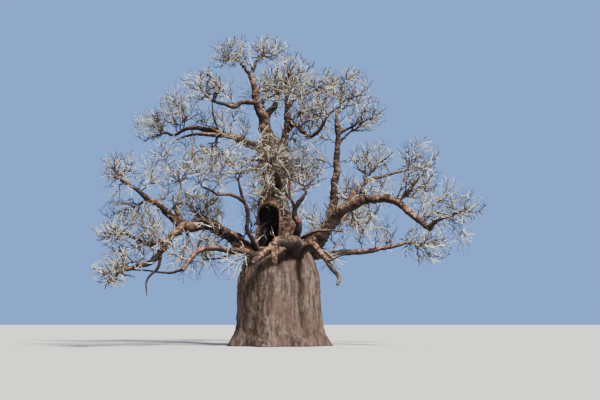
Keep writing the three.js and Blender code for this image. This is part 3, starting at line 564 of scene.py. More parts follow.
def thicken(grown, stem_radius, random, tints, stem_tint=0):
    """Thickness along each twig, and its tint: a whole spray, with all that it carries, has one tint."""
    carried = count_tips(grown)
    for level, layer in enumerate(grown):
        count, points = layer["ways"].shape[:2]
        wanted = FINE_TIP * carried[level] ** THICKENING
        falling = 1 - (1 - layer["taper"]) * np.linspace(0, 1, points)
        radii = np.empty((count, points))
        tint = np.zeros(count, int)
        for i in range(count):
            coarser, twig, point = layer["parent"][i]
            if coarser == NO_PARENT:
                root = stem_radius
            else:
                source = radii if coarser == level else grown[coarser]["radii"]
                root = min(wanted[i], NARROWING * source[twig, point])
                tint[i] = grown[coarser]["tint"][twig] if coarser > 0 else UNDEALT
                if level == SMALL_SPRAYS and random.uniform() < OWN_TINT:
                    tint[i] = UNDEALT
            radii[i] = np.maximum(root * falling, layer["thinnest"])
        fresh = tint == UNDEALT
        shares = BRANCHLET_TINTS if level == BRANCHLETS else tints
        tint[fresh] = random.choice(len(tints), size=fresh.sum(), p=shares)
        layer["radii"] = radii
        layer["tint"] = tint if level > 0 else np.full(count, stem_tint)
    return grown


def main_layer(twigs, random):
    """The main twigs as crooked lines, each joined to the point of its parent that it springs from."""
    roots, bends, tips = np.array([twig["way"] for twig in twigs]).transpose(1, 0, 2)
    lines = crooked_ways(roots, bends, tips, MAIN["points"], MAIN["crooked"], random)
    parents = []
    for i, twig in enumerate(twigs):
        point = round(twig["place"] * (MAIN["points"] - 1))
        joined = twig["parent"] != NO_PARENT
        parents.append((0 if joined else NO_PARENT, twig["parent"], point))
        if joined:
            shift = lines[twig["parent"], point] - lines[i, 0]
            lines[i] += shift * np.linspace(1, 0, MAIN["points"])[:, None]
    return layer_of(lines, np.array(parents), MAIN)


def space_of(middle, half):
    half = np.array(half, float)
    return {"middle": np.array(middle, float), "half": half, "room": min(1.0, half.mean() / WIDE)}


# Nodes written as sums: for materials and for Geometry Nodes
class Wire:
    """A node's output. A sum or product with it adds its Math node, or Vector Math where one is a vector."""

    def __init__(self, board, socket):
        self.board = board
        self.socket = socket

    def joined(self, operation, *values):
        vector = any(isinstance(value, tuple) or isinstance(value, Wire) and value.socket.type == "VECTOR"
                     for value in values)
        kind = "ShaderNodeVectorMath" if vector else "ShaderNodeMath"
        return self.board.node(kind, {"operation": operation}, list(values))

    def __add__(self, other):
        return self.joined("ADD", self, other)

    def __sub__(self, other):
        return self.joined("SUBTRACT", self, other)

    def __rsub__(self, other):
        return self.joined("SUBTRACT", other, self)

    def __mul__(self, other):
        return self.joined("MULTIPLY", self, other)

    def __truediv__(self, other):
        return self.joined("DIVIDE", self, other)

    def __rtruediv__(self, other):
        return self.joined("DIVIDE", other, self)

    __radd__ = __add__
    __rmul__ = __mul__

    def between(self, low, high):
        """0 below low, 1 above high and a soft rise between them."""
        return self.board.node("ShaderNodeMapRange", {"interpolation_type": "SMOOTHSTEP"},
                               [self, low, high, 0, 1])

    def outside(self, low, high):
        """1 below low, 0 above high and a soft fall between them."""
        return 1 - self.between(low, high)


class Board:
    """The nodes of one tree. A socket is fed a wire, a plain value, or a list of wires if it takes many."""

    def __init__(self, tree):
        self.tree = tree

    def node(self, kind, settings=(), sockets=(), output=0):
        made = self.tree.nodes.new(kind)
        for name, value in dict(settings).items():
            setattr(made, name, value)
        for key, value in sockets.items() if isinstance(sockets, dict) else enumerate(sockets):
            self.feed(made.inputs[key], value)
        return Wire(self, made.outputs[output]) if made.outputs else None

    def feed(self, socket, value):
        if isinstance(value, list):
            for wire in value:
                self.feed(socket, wire)
        elif isinstance(value, Wire):
            self.tree.links.new(value.socket, socket)
        elif socket.type == "VECTOR" and not isinstance(value, tuple):
            socket.default_value = (value,) * 3
        elif socket.type == "RGBA":
            socket.default_value = (*value, 1)
        else:
            socket.default_value = value

    def noise(self, vector, scale, detail=2.0, roughness=0.5, distortion=0.0):
        sockets = {"Vector": vector, "Scale": scale, "Detail": detail, "Roughness": roughness,
                   "Distortion": distortion}
        return self.node("ShaderNodeTexNoise", {}, sockets)

    def line_noise(self, place, scale, detail=1.0):
        return self.node("ShaderNodeTexNoise", {"noise_dimensions": "1D"},
                         {"W": place, "Scale": scale, "Detail": detail})

    def blend(self, share, first, second):
        """Colour between first, where share is 0, and second, where it is 1."""
        return self.node("ShaderNodeMix", {"data_type": "RGBA"}, {0: share, 6: first, 7: second}, output=2)

    def painted(self, colour, coats):
        """A colour with coats over it, each with the share of the surface that it covers."""
        for share, coat in coats:
            colour = self.blend(share, colour, coat)
        return colour


# Geometry Nodes
def geometry_board(name, sockets):
    """A Geometry Nodes tree with the named inputs, and a wire from each."""
    tree = bpy.data.node_groups.new(name, "GeometryNodeTree")
    tree.interface.new_socket("Geometry", in_out="OUTPUT", socket_type="NodeSocketGeometry")
    for label, kind in sockets:
        tree.interface.new_socket(label, in_out="INPUT", socket_type=f"NodeSocket{kind}")
    board = Board(tree)
    return board, {label: board.node("NodeGroupInput", output=label) for label, _ in sockets}


def finish_tree(board, geometry):
    realized = board.node("GeometryNodeRealizeInstances", {}, [geometry])
    return board.node("GeometryNodeSetShadeSmooth", {}, {"Geometry": realized})


def close_tree(board, geometry):
    board.node("NodeGroupOutput", {}, [geometry])
    return board.tree


def attribute(board, name, kind="FLOAT"):
    return board.node("GeometryNodeInputNamedAttribute", {"data_type": kind}, {"Name": name})


def is_number(board, wire, number):
    return board.node("FunctionNodeCompare", {"data_type": "INT", "operation": "EQUAL"}, {2: wire, 3: number})


def tube_along(board, lines, sides):
    profile = board.node("GeometryNodeCurvePrimitiveCircle", {}, {"Resolution": sides, "Radius": 1.0})
    curve = board.node("GeometryNodeMeshToCurve", {}, [lines])
    return board.node("GeometryNodeCurveToMesh", {},
                      {"Curve": curve, "Profile Curve": profile, "Scale": attribute(board, "girth"),
                       "Fill Caps": True})


def twig_tree(tints):
    """Twigs: closed tubes with as many sides as their level has, and one material for each tint."""
    names = [f"Tint {k + 1}" for k in range(tints)]
    sockets = [("Lines", "Geometry"), *((name, "Material") for name in names)]
    board, given = geometry_board("twig_tubes", sockets)
    sides_here = attribute(board, "sides", "INT")
    tubes = []
    for sides in sorted(set(TUBE_SIDES)):
        lines = board.node("GeometryNodeSeparateGeometry", {},
                           {"Geometry": given["Lines"], "Selection": is_number(board, sides_here, sides)})
        tubes.append(tube_along(board, lines, sides))
    mesh = finish_tree(board, board.node("GeometryNodeJoinGeometry", {}, [tubes]))
    tint = attribute(board, "tint", "INT")
    for k, name in enumerate(names):
        mesh = board.node("GeometryNodeSetMaterial", {},
                          {"Geometry": mesh, "Selection": is_number(board, tint, k), "Material": given[name]})
    return close_tree(board, mesh)


# The broken side of the left great bough: middle of the rot, the bough's slope and lean there, and size
ROT = {
    "x": -4.0, "z": 7.5, "slope": -0.5, "lean": 0.5, "front": 0.2, "half_length": 1.35, "half_width": 0.36,
    "ragged": 1.1, "grain": 3.5, "rim": (0.95, 1.15), "back": (0.05, 0.2), "depth": 0.22,
}


def rotten(board, place):
    """1 in the rot of the left great bough, ragged at its rim, and 0 on all other bark."""
    x, y, z = (board.node("ShaderNodeSeparateXYZ", {}, [place], output=axis) for axis in "XYZ")
    along = (x - ROT["x"]) / ROT["half_length"]
    across = (z - ROT["z"] - (x - ROT["x"]) * ROT["slope"]) / ROT["half_width"]
    uneven = (board.noise(place, ROT["grain"], 4.0, 0.7) - 0.5) * ROT["ragged"]
    far = along * along + across * across + uneven
    behind = y - x * ROT["lean"] + ROT["front"]
    return far.outside(*ROT["rim"]) * behind.outside(*ROT["back"])


# Relief of the bark: lumps and wrinkles, both deeper on a thicker limb
RELIEF_SOCKETS = [("Lump Size", "Float"), ("Lump Depth", "Float"), ("Wrinkle Spacing", "Float"),
                  ("Wrinkle Depth", "Float"), ("Bark", "Material")]
TRUNK_RELIEF = {"Lump Size": 0.5, "Lump Depth": 0.3, "Wrinkle Spacing": 0.45, "Wrinkle Depth": 0.03}
LIMB_RELIEF = {"Lump Size": 0.3, "Lump Depth": 0.9, "Wrinkle Spacing": 0.22, "Wrinkle Depth": 0.3}
WRINKLE_DRIFT = {"scale": 1.3, "reach": 0.9}


def bark_relief(board, mesh, given):
    """Moves bark out and in by lumps and by wrinkles across the limb, as deep as its girth allows."""
    place = board.node("GeometryNodeInputPosition")
    normal = board.node("GeometryNodeInputNormal")
    along = attribute(board, "along")
    lumps = board.noise(place, 1 / given["Lump Size"], 3.0) - 0.5
    drift = board.noise(place, WRINKLE_DRIFT["scale"]) * WRINKLE_DRIFT["reach"]
    wrinkles = board.line_noise(along + drift, 1 / given["Wrinkle Spacing"], 2.0) - 0.5
    depth = attribute(board, "relief") * (lumps * given["Lump Depth"] + wrinkles * given["Wrinkle Depth"])
    depth = depth - rotten(board, place) * ROT["depth"]
    return board.node("GeometryNodeSetPosition", {}, {"Geometry": mesh, "Offset": normal * depth})


def bark_tree(name, from_lines):
    """Bark with relief, over lines with a thickness or over a finished skin."""
    sockets = [("Lines", "Geometry"), ("Sides", "Int")] if from_lines else [("Skin", "Geometry")]
    board, given = geometry_board(name, sockets + RELIEF_SOCKETS)
    skin = tube_along(board, given["Lines"], given["Sides"]) if from_lines else given["Skin"]
    mesh = finish_tree(board, bark_relief(board, skin, given))
    barked = board.node("GeometryNodeSetMaterial", {}, {"Geometry": mesh, "Material": given["Bark"]})
    return close_tree(board, barked)


def linked(made):
    """Puts an object in the scene."""
    bpy.context.scene.collection.objects.link(made)
    return made


def run_tree(source, tree, values, name):
    """The plain mesh that a tree makes from an object, in an object of its own."""
    modifier = source.modifiers.new("made", "NODES")
    modifier.node_group = tree
    for item in tree.interface.items_tree:
        if item.in_out == "INPUT" and item.name in values:
            modifier[item.identifier] = values[item.name]
    depsgraph = bpy.context.evaluated_depsgraph_get()
    mesh = bpy.data.meshes.new_from_object(source.evaluated_get(depsgraph), depsgraph=depsgraph)
    bpy.data.objects.remove(source)
    mesh.name = name
    return linked(bpy.data.objects.new(name, mesh))


def plain_object(name, mesh, values):
    """An object with a value for each vertex under each name, whole numbers kept whole."""
    for label, numbers in values.items():
        whole = numbers.dtype.kind == "i"
        column = mesh.attributes.new(label, "INT" if whole else "FLOAT", "POINT")
        column.data.foreach_set("value", numbers.astype(np.int32 if whole else np.float32))
    return linked(bpy.data.objects.new(name, mesh))


def lines_object(name, ways, values):
    """Lines as edges. ways is a list of arrays of points; values gives one array for all points by name."""
    counts = [len(way) for way in ways]
    starts = np.concatenate([[0], np.cumsum(counts)])
    edges = np.arange(starts[-1] - 1)
    edges = np.delete(edges, starts[1:-1] - 1)
    mesh = bpy.data.meshes.new(name)
    mesh.vertices.add(int(starts[-1]))
    mesh.vertices.foreach_set("co", np.concatenate(ways).astype(np.float32).ravel())
    mesh.edges.add(len(edges))
    mesh.edges.foreach_set("vertices", np.column_stack([edges, edges + 1]).astype(np.int32).ravel())
    return plain_object(name, mesh, values)


def ride(piece, nodes=()):
    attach(piece, "root")
    if nodes:
        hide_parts(*nodes)


# Materials
PLAIN_FINISH = {"Roughness": 0.85, "Specular IOR Level": 0.25}


def material(name, build):
    """A material whose colour, roughness and bumps come from build."""
    made = bpy.data.materials.new(name)
    made.use_nodes = True
    made.node_tree.nodes.clear()
    board = Board(made.node_tree)
    place = board.node("ShaderNodeTexCoord", output="Object")
    shader = board.node("ShaderNodeBsdfPrincipled", {}, {**PLAIN_FINISH, **build(board, place)})
    board.node("ShaderNodeOutputMaterial", {}, {"Surface": shader})
    return made


# Patterns of the bark: how many of each fit in about a metre, and how far a pattern is bent
TRUNK_PITCH = {"blotches": 0.6, "streaks": 3.4, "patches": 2.4, "fine": 14.0, "folds": 2.6, "bends": 0.9}
LIMB_PITCH = {"blotches": 1.1, "stains": 0.7, "patches": 3.4, "fine": 22.0, "rings": 11.0, "bends": 2.0}
TWIG_PITCH = {"patches": 2.5, "bumps": 60.0}
CRACKS = {"plates": 7.0, "width": 0.09, "bends": 3.0, "bent_by": 0.25}
FOLDS_BENT_BY = 2.6
RINGS_BENT_BY = 0.5
STREAK_STRETCH = (1.0, 1.0, 0.16)  # streaks run up the trunk
NECK = {"from": (6.2, 7.4), "to": (9.0, 10.6)}  # heights that the neck's own bark begins and fades in
THIN_TO_THICK = (0.05, 0.17)  # radii between which the painted sunlit top of a limb changes from grey to tan
SUNNY_SIDE = (-0.3, 0.5)  # upward share of a face's direction over which the painted sunlight on a limb's top rises
SHADY_SIDE = (-0.45, 0.35)  # the same, where the painted shade on a limb's underside ends
TRUNK_BUMPS = (0.06, 0.8)  # height in metres and strength
LIMB_BUMPS = (0.03, 0.7)
TWIG_BUMPS = (0.004, 0.4)
TWIG_SHADE = 0.8  # brightness of a twig's darker patches, as a share of its colour


def own(board, name):
    """A value that the piece's own surface carries."""
    return board.node("ShaderNodeAttribute", {"attribute_name": name}, output="Fac")


def bumped(board, height, distance, strength):
    return board.node("ShaderNodeBump", {}, {"Strength": strength, "Distance": distance, "Height": height})


def cracks(board, place):
    """1 in the narrow cracks between plates of bark, 0 on the plates."""
    bent = place + board.noise(place, CRACKS["bends"]) * CRACKS["bent_by"]
    edge = board.node("ShaderNodeTexVoronoi", {"feature": "DISTANCE_TO_EDGE"},
                      {"Vector": bent, "Scale": CRACKS["plates"]})
    return edge.outside(0.0, CRACKS["width"])


TRUNK_DARK = (0.008, 0.005, 0.004)
TRUNK_BROWN = (0.036, 0.022, 0.017)
TRUNK_GREY = (0.125, 0.088, 0.064)
TRUNK_COPPER = (0.066, 0.034, 0.024)
TRUNK_TAN = (0.26, 0.15, 0.09)
# painted shade inside the hollow of the trunk
HOLLOW_PAINTED_SHADE = (0.012, 0.009, 0.011)
RIM_TAN = (0.25, 0.14, 0.085)
LIMB_COPPER = (0.1, 0.042, 0.027)
# tan bark patches with painted sunlight: they show on the tops of the limbs only
LIMB_SUNLIT_TAN = (0.42, 0.22, 0.11)
LIMB_BROWN = (0.036, 0.021, 0.016)
# pale grey bark of thin limbs with a painted highlight: it shows on their tops only
LIMB_SUNLIT_GREY = (0.24, 0.17, 0.115)
# dark marks of the limb bark (patches, stains, rings, cracks) and the painted shade of the undersides
LIMB_DARK_AND_SHADE = (0.01, 0.006, 0.005)
# painted shade of the broken hollow in the left great bough
ROT_PAINTED_SHADE = (0.006, 0.005, 0.005)


def trunk_bark(board, place):
    pitch = TRUNK_PITCH
    tall = board.node("ShaderNodeMapping", {}, {"Vector": place, "Scale": STREAK_STRETCH})
    blotches = board.noise(place, pitch["blotches"], 4.0, 0.6).between(0.4, 0.62)
    streaks = board.noise(tall, pitch["streaks"], 6.0, 0.7, 0.5)
    patches = board.noise(place, pitch["patches"], 5.0, 0.7, 0.8)
    fine = board.noise(place, pitch["fine"], 5.0, 0.7)
    along = own(board, "along")
    bent = along + board.noise(place, pitch["bends"]) * FOLDS_BENT_BY
    folds = board.line_noise(bent, pitch["folds"], 4.0)
    gaps = patches.outside(0.36, 0.46) * streaks.between(0.35, 0.55)
    neck = along.between(*NECK["from"]) * (1 - along.between(*NECK["to"]) * 0.6)
    plain = board.blend(streaks.between(0.4, 0.62), TRUNK_BROWN, TRUNK_GREY)
    colour = board.painted(plain, [
        (blotches * 0.6, TRUNK_COPPER),
        (neck * folds.between(0.46, 0.58) * 0.75, TRUNK_TAN),
        (folds.outside(0.34, 0.46) * (0.25 + neck * 0.5), TRUNK_DARK),
        (gaps * 0.5, TRUNK_DARK),
        (streaks.outside(0.3, 0.48) * 0.6, TRUNK_DARK),
        (fine.outside(0.3, 0.5) * 0.35, TRUNK_DARK),
        (own(board, "rim") * patches.between(0.3, 0.5) * 0.8, RIM_TAN),
        # painted shade inside the hollow, by the share that the skin carries
        (own(board, "hollow"), HOLLOW_PAINTED_SHADE),
    ])
    height = streaks * 0.9 + patches * 0.6 + fine * 0.2 + folds * 0.15
    return {"Base Color": colour, "Roughness": 0.8 + fine * 0.15,
            "Normal": bumped(board, height, *TRUNK_BUMPS)}


def limb_bark(board, place):
    pitch = LIMB_PITCH
    normal = board.node("ShaderNodeNewGeometry", output="Normal")
    upward = board.node("ShaderNodeSeparateXYZ", {}, [normal], output="Z")
    blotches = board.noise(place, pitch["blotches"], 4.0, 0.6)
    stains = board.noise(place, pitch["stains"], 3.0, 0.5)
    patches = board.noise(place, pitch["patches"], 4.0, 0.6, 0.4)
    fine = board.noise(place, pitch["fine"], 4.0, 0.7)
    bent = own(board, "along") + board.noise(place, pitch["bends"]) * RINGS_BENT_BY
    rings = board.line_noise(bent, pitch["rings"], 3.0)
    gaps = cracks(board, place) * patches.between(0.42, 0.6)
    # painted sunlight on the tops of the limbs, by the upward share of their faces
    sunny = upward.between(*SUNNY_SIDE)
    thick = own(board, "girth").between(*THIN_TO_THICK)
    plain = board.blend(blotches.between(0.42, 0.6), LIMB_BROWN, LIMB_COPPER)
    colour = board.painted(plain, [
        (patches.between(0.46, 0.6) * sunny * thick * 0.85, LIMB_SUNLIT_TAN),
        ((1 - thick) * sunny * patches.between(0.3, 0.5) * 0.75, LIMB_SUNLIT_GREY),
        (patches.outside(0.34, 0.44) * 0.75, LIMB_DARK_AND_SHADE),
        (stains.outside(0.4, 0.5) * 0.65, LIMB_DARK_AND_SHADE),
        (rings.outside(0.36, 0.44) * 0.75, LIMB_DARK_AND_SHADE),
        # painted shade on the undersides of the limbs
        (upward.outside(*SHADY_SIDE) * 0.9, LIMB_DARK_AND_SHADE),
        (gaps * 0.55, LIMB_DARK_AND_SHADE),
        (fine.outside(0.25, 0.5) * 0.3, LIMB_DARK_AND_SHADE),
        # painted shade in the broken hollow of the left great bough, where its bark is pressed in
        (rotten(board, place) * 0.95, ROT_PAINTED_SHADE),
    ])
    height = rings * 0.7 + patches * 0.3 + fine * 0.25 - gaps * 0.4
    return {"Base Color": colour, "Roughness": 0.78 + fine * 0.15,
            "Normal": bumped(board, height, *LIMB_BUMPS)}


def twig_bark(colour):
    """Bare twig bark of one plain colour, a little uneven."""
    def build(board, place):
        uneven = board.noise(place, TWIG_PITCH["patches"], 3.0)
        shade = tuple(TWIG_SHADE * value for value in colour)
        bumps = board.noise(place, TWIG_PITCH["bumps"])
        return {"Base Color": board.blend(uneven.between(0.35, 0.65), shade, colour),
                "Roughness": 0.7 + uneven * 0.2, "Normal": bumped(board, bumps, *TWIG_BUMPS)}
    return build


# Twig colours and the share of the sprays that have each
TINTS = [
    ("twig_wood", (0.06, 0.038, 0.026), 0.32),
    ("twig_silver", (0.8, 0.78, 0.67), 0.23),
    ("twig_straw", (0.44, 0.4, 0.27), 0.24),
    ("twig_grey", (0.18, 0.145, 0.1), 0.21),
]
TINT_SHARES = [share for _, _, share in TINTS]
BRANCHLET_TINTS = (0.55, 0.1, 0.13, 0.22)  # the branchlets that carry the small sprays are mostly dark
OWN_TINT = 0.85  # share of the small sprays that have a tint of their own
TANGLE_TINTS = (0.4, 0.25, 0.1, 0.25)  # the same shares in front of the trunk

# Skin of the trunk: rows and columns, which are closer in a window round the hollow
SKIN = {
    "columns": 200, "hollow_columns": 80, "row": 0.1, "hollow_row": 0.05, "cap_rows": 8,
    "front": -1.4, "half_turn": 0.5, "below": 0.6, "above": 0.5, "plain_foot": 0.5,
}
SOFTENING = (-0.3, -0.15, 0, 0.15, 0.3)  # heights over which the trunk's radius is evened out
NECK_WAVE = {"swing": 2.2, "turns": 2, "twist": 0.9}  # how the rings of the neck rise and fall
RIM = {
    # the hollow's edge, by how far a place lies inside the arch, and the depth (dark) from which the painted
    # shade inside it is full
    "uneven": 0.02, "pitches": (5.3, 2, 3.1), "start": -0.02, "edge": 0.08, "dark": 0.07,
    "lip": 0.09, "lip_place": 0.1, "lip_width": 0.1, "tan_place": 0.09, "tan_width": 0.08, "calm": 0.6,
}


def soft_step(value, low, high):
    t = np.clip((value - low) / (high - low), 0, 1)
    return t * t * (3 - 2 * t)


def trunk_outline(angles, heights):
    """Lean and radius of the trunk for every height and angle."""
    rings = np.array(TRUNK_RINGS)
    z = np.clip(heights, rings[0, 0], rings[-1, 0])
    lean = np.interp(z, rings[:, 0], rings[:, 1])
    radius = np.mean([np.interp(z + step, rings[:, 0], rings[:, 2]) for step in SOFTENING], axis=0)
    share = np.ones((len(heights), len(angles)))
    for count, depth, turn, twist in TRUNK_FOLDS:
        share += depth * np.cos(count * angles[None] + turn + twist * z[:, None])
    neck = RIDGES["depth"] * soft_step(z, RIDGES["low"], RIDGES["full"])
    swing = NECK_WAVE["swing"] * np.sin(NECK_WAVE["turns"] * angles[None] + NECK_WAVE["twist"] * z[:, None])
    for pitch in RIDGES["pitches"]:
        waves = np.sin(pitch * z[:, None] + swing)
        share += neck[:, None] * waves / len(RIDGES["pitches"])
    flare = ROOT_FLARE["depth"] * np.exp(-z / ROOT_FLARE["fade"])
    share += flare[:, None] * np.cos(ROOT_FLARE["count"] * angles[None] + ROOT_FLARE["turn"])
    return lean, radius[:, None] * share


def arch_depth(x, z):
    """How far a place on the trunk's front lies inside the arch of the hollow."""
    sideways = np.abs(x - HOLLOW["x"])
    below = np.minimum(HOLLOW["half_width"] - sideways, z - HOLLOW["sill"])
    above = HOLLOW["half_width"] - np.hypot(sideways, z - HOLLOW["spring"])
    return np.where(z > HOLLOW["spring"], above, below)


def trunk_rings():
    """Angles and heights of the trunk's corners, closer round the hollow, with its lean and radius there."""
    front = math.atan2(SKIN["front"], HOLLOW["x"])
    start, end = front - SKIN["half_turn"], front + SKIN["half_turn"]
    window = np.linspace(start, end, SKIN["hollow_columns"])
    around = np.linspace(end, start + 2 * math.pi, SKIN["columns"])[1:-1]
    angles = np.concatenate([window, around])
    top = TRUNK_RINGS[-1][0]
    low = HOLLOW["sill"] - SKIN["below"]
    high = HOLLOW["spring"] + HOLLOW["half_width"] + SKIN["above"]
    stretches = [(0, low, SKIN["row"]), (low, high, SKIN["hollow_row"]), (high, top, SKIN["row"])]
    heights = np.concatenate([np.arange(*stretch) for stretch in stretches])
    lean, radius = trunk_outline(angles, heights)
    cap = np.linspace(0, math.pi / 2, SKIN["cap_rows"])[:-1]
    cap_lean, cap_radius = trunk_outline(angles, np.full(len(cap), top))
    heights = np.concatenate([heights, top + TRUNK_CAP * np.sin(cap)])
    lean = np.concatenate([lean, cap_lean])
    return angles, heights, lean, np.concatenate([radius, cap_radius * np.cos(cap)[:, None]])


def ring_faces(rows, columns):
    """Faces between rings of corners, and to one more corner above them and one below."""
    ring = [(k, (k + 1) % columns) for k in range(columns)]
    last, above, below = (rows - 1) * columns, rows * columns, rows * columns + 1
    faces = [(row + a, row + b, row + b + columns, row + a + columns)
             for row in range(0, last, columns) for a, b in ring]
    faces += [(last + a, last + b, above) for a, b in ring]
    return faces + [(b, a, below) for a, b in ring]


def trunk_skin():
    """Trunk as rings of corners, with the hollow pressed in and its lip raised."""
    angles, heights, lean, radius = trunk_rings()
    x = lean[:, None] + radius * np.cos(angles)
    y = radius * np.sin(angles)
    z = np.repeat(heights[:, None], len(angles), axis=1)
    rising, sideways, along = RIM["pitches"]
    uneven = RIM["uneven"] * np.sin(rising * z + sideways * x) * np.sin(along * z)
    inside = np.where(y < 0, arch_depth(x, z) + uneven, -1)
    lip = RIM["lip"] * np.exp(-((inside + RIM["lip_place"]) / RIM["lip_width"]) ** 2)
    x += lip * np.cos(angles)
    y += lip * np.sin(angles)
    pressed = soft_step(inside, RIM["start"], RIM["edge"])
    y = y + (HOLLOW["back"] - y) * pressed
    relief = np.minimum(1, radius) * soft_step(z, 0.0, SKIN["plain_foot"]) * (1 - RIM["calm"] * pressed)
    # share of painted shade inside the hollow, full from the dark depth inward
    hollow = soft_step(inside, RIM["start"], RIM["dark"])
    tan = np.exp(-((inside + RIM["tan_place"]) / RIM["tan_width"]) ** 2)
    # one more corner above the rings and one below them, and what each carries
    top = TRUNK_RINGS[-1][0]
    corners = np.column_stack([x.ravel(), y.ravel(), z.ravel()])
    corners = np.vstack([corners, [lean[-1], 0, top + TRUNK_CAP], [0, 0, 0]])
    carried = {
        "relief": (relief, [0.0, 0.0]), "girth": (radius, [1.0, 1.0]), "along": (z, [top, 0.0]),
        "hollow": (hollow, [0.0, 0.0]), "rim": (tan, [0.0, 0.0]),
    }
    values = {label: np.concatenate([grid.ravel(), ends]) for label, (grid, ends) in carried.items()}
    mesh = bpy.data.meshes.new("trunk_skin")
    mesh.from_pydata(corners.tolist(), [], ring_faces(*x.shape))
    return plain_object("trunk_skin", mesh, values)


def make_trunk(bark):
    inputs = {**TRUNK_RELIEF, "Bark": bark}
    trunk = run_tree(trunk_skin(), bark_tree("trunk_relief", False), inputs, "trunk_with_relief")
    ride(trunk, ["trunk"])


# Limbs: the groups that are one piece each, with the sides of their tubes
LIMB_GROUPS = {
    "left_boughs": (20, ["left_great_bough", "left_rising_bough", "left_dropping_bough", "left_lower_bough",
                         "left_fork_limb", "left_upright_limb"]),
    "right_boughs": (20, ["right_great_bough", "right_low_bough", "tall_right_stem", "right_upper_bough"]),
    "front_boughs": (20, ["front_bough", "front_stub", "front_right_bough", "centre_upright_limb",
                          "front_high_bough"]),
    "back_boughs": (20, ["back_left_bough", "back_centre_bough", "back_right_bough"]),
    "crown_boughs": (20, ["upper_left_bough", "crown_left_stem", "level_bough", "crown_back_bough",
                          "crown_centre_stem", "crown_right_bough"]),
    "slender_limbs": (12, ["left_middle_limb", "left_reaching_limb", "top_left_limb", "top_right_limb",
                           "right_high_limb", "right_reaching_bough"]),
}
SMALL_LIMB_SIDES = 12
LIMB_SPACING = 0.06  # between the rings of a limb's tube
LIMB_END = (0.97, 0.9, 0.8)  # the last rings of a limb narrow to the stem of its twigs
SMALL_LIMB_END = (0.8, 0.6, 0.3)
WRINKLE_SHIFT = 17.0  # from limb to limb, so that no two have the same wrinkles
WANDER = {"share": 0.35, "more": 0.07, "pitch": 1.1, "shift": 7.3}  # unevenness of a limb's middle line


def fine_limb(limb, end):
    """A limb's line and radii in close rings, with the coarse rings' lumps between them."""
    line, places = smooth_way(limb["points"], LIMB_SPACING)
    lumps = np.interp(places, limb["places"], limb["lumps"])
    radii = limb_radii(line, lumps, limb["ends"])
    radii[-len(end):] *= end
    gone = gone_along(line)
    room = WANDER["share"] * radii + WANDER["more"]
    for axis in range(3):
        spots = line * WANDER["pitch"] + WANDER["shift"] * axis
        wander = np.array([noise.noise(Vector(spot)) for spot in spots])
        line[:, axis] += wander * room * np.sin(np.pi * gone / gone[-1])
    return line, radii, gone


def make_limbs(name, sides, limbs, tree, bark, nodes, end=LIMB_END):
    lines, girths, alongs = [], [], []
    for offset, limb in enumerate(limbs):
        line, radii, gone = fine_limb(limb, end)
        lines.append(line)
        girths.append(radii)
        alongs.append(gone + WRINKLE_SHIFT * offset)
    girth = np.concatenate(girths)
    values = {"girth": girth, "relief": girth, "along": np.concatenate(alongs)}
    source = lines_object(name + "_lines", lines, values)
    piece = run_tree(source, tree, {**LIMB_RELIEF, "Sides": sides, "Bark": bark}, name)
    ride(piece, nodes)


# Twig pieces: which masses are joined in each
TWIG_GROUPS = {
    "top_crown_sprays": ["crown_left_twigs", "crown_top_twigs", "crown_back_twigs", "level_twigs"],
    "crown_side_sprays": ["crown_centre_twigs", "crown_right_twigs", "inner_right_twigs"],
    "tall_stem_sprays": ["tall_top_twigs", "tall_side_twigs", "right_inner_twigs"],
    "upper_left_sprays": ["upper_left_outer_twigs", "upper_left_top_twigs", "upper_left_under_twigs"],
    "left_high_sprays": ["left_fan_twigs", "left_tip_twigs", "left_shoulder_twigs"],
    "left_low_sprays": ["left_middle_twigs", "left_low_twigs", "left_reach_twigs", "left_upright_twigs"],
    "right_sprays": ["right_tip_twigs", "right_riser_twigs", "right_upper_twigs", "right_low_twigs"],
    "front_sprays": ["centre_twigs", "front_high_twigs"],
    "back_side_sprays": ["back_left_twigs", "back_right_twigs"],
    "back_centre_sprays": ["back_centre_twigs"],
}


def twig_piece(name, spaces, tree, materials, nodes):
    """Joins the twigs of several spaces in one piece."""
    ways, girth, tint, sides = [], [], [], []
    for grown in spaces:
        for level, layer in enumerate(grown):
            count, points = layer["ways"].shape[:2]
            ways.extend(layer["ways"])
            girth.append(layer["radii"].ravel())
            tint.append(np.repeat(layer["tint"], points))
            sides.append(np.full(count * points, TUBE_SIDES[level]))
    values = {"girth": np.concatenate(girth), "tint": np.concatenate(tint), "sides": np.concatenate(sides)}
    source = lines_object(name + "_lines", ways, values)
    inputs = {f"Tint {k + 1}": made for k, made in enumerate(materials)}
    piece = run_tree(source, tree, inputs, name)
    ride(piece, nodes)


def grow_masses(limbs, rods):
    """The main twigs of every mass, as in its solid, and then the finer ones."""
    twig_rods = np.zeros((0, 7))
    grown = {}
    every = np.concatenate(list(rods.values()))
    for index, (name, (limb, at, middle, half)) in enumerate(MASSES.items()):
        space = space_of(middle, half)
        own_rods = rods[limb][:-1] if at == 1 else rods[limb][:0]
        others = [rods[other] for other in rods if other != limb]
        obstacles = np.concatenate([*others, own_rods, twig_rods])
        twigs, foot_radius = grow_main_twigs(space, TWIG["seed"] + index, limbs[limb], at, obstacles)
        random = np.random.default_rng(TWIG["seed"] + index)
        layers = [main_layer(twigs, random)]
        grow_finer_twigs(space, layers, near_rods(space, every), random, DENSITY.get(name, 1.0))
        stem_radius = STEM["thickness" if at == 1 else "side_thickness"] * foot_radius
        thicken(layers, stem_radius, random, TINT_SHARES)
        grown[name] = layers
        thick = np.full(3, TWIG["tip_radius"] * 2)
        twig_rods = np.concatenate([twig_rods, *(rods_along(twig["way"], thick) for twig in twigs)])
    return grown


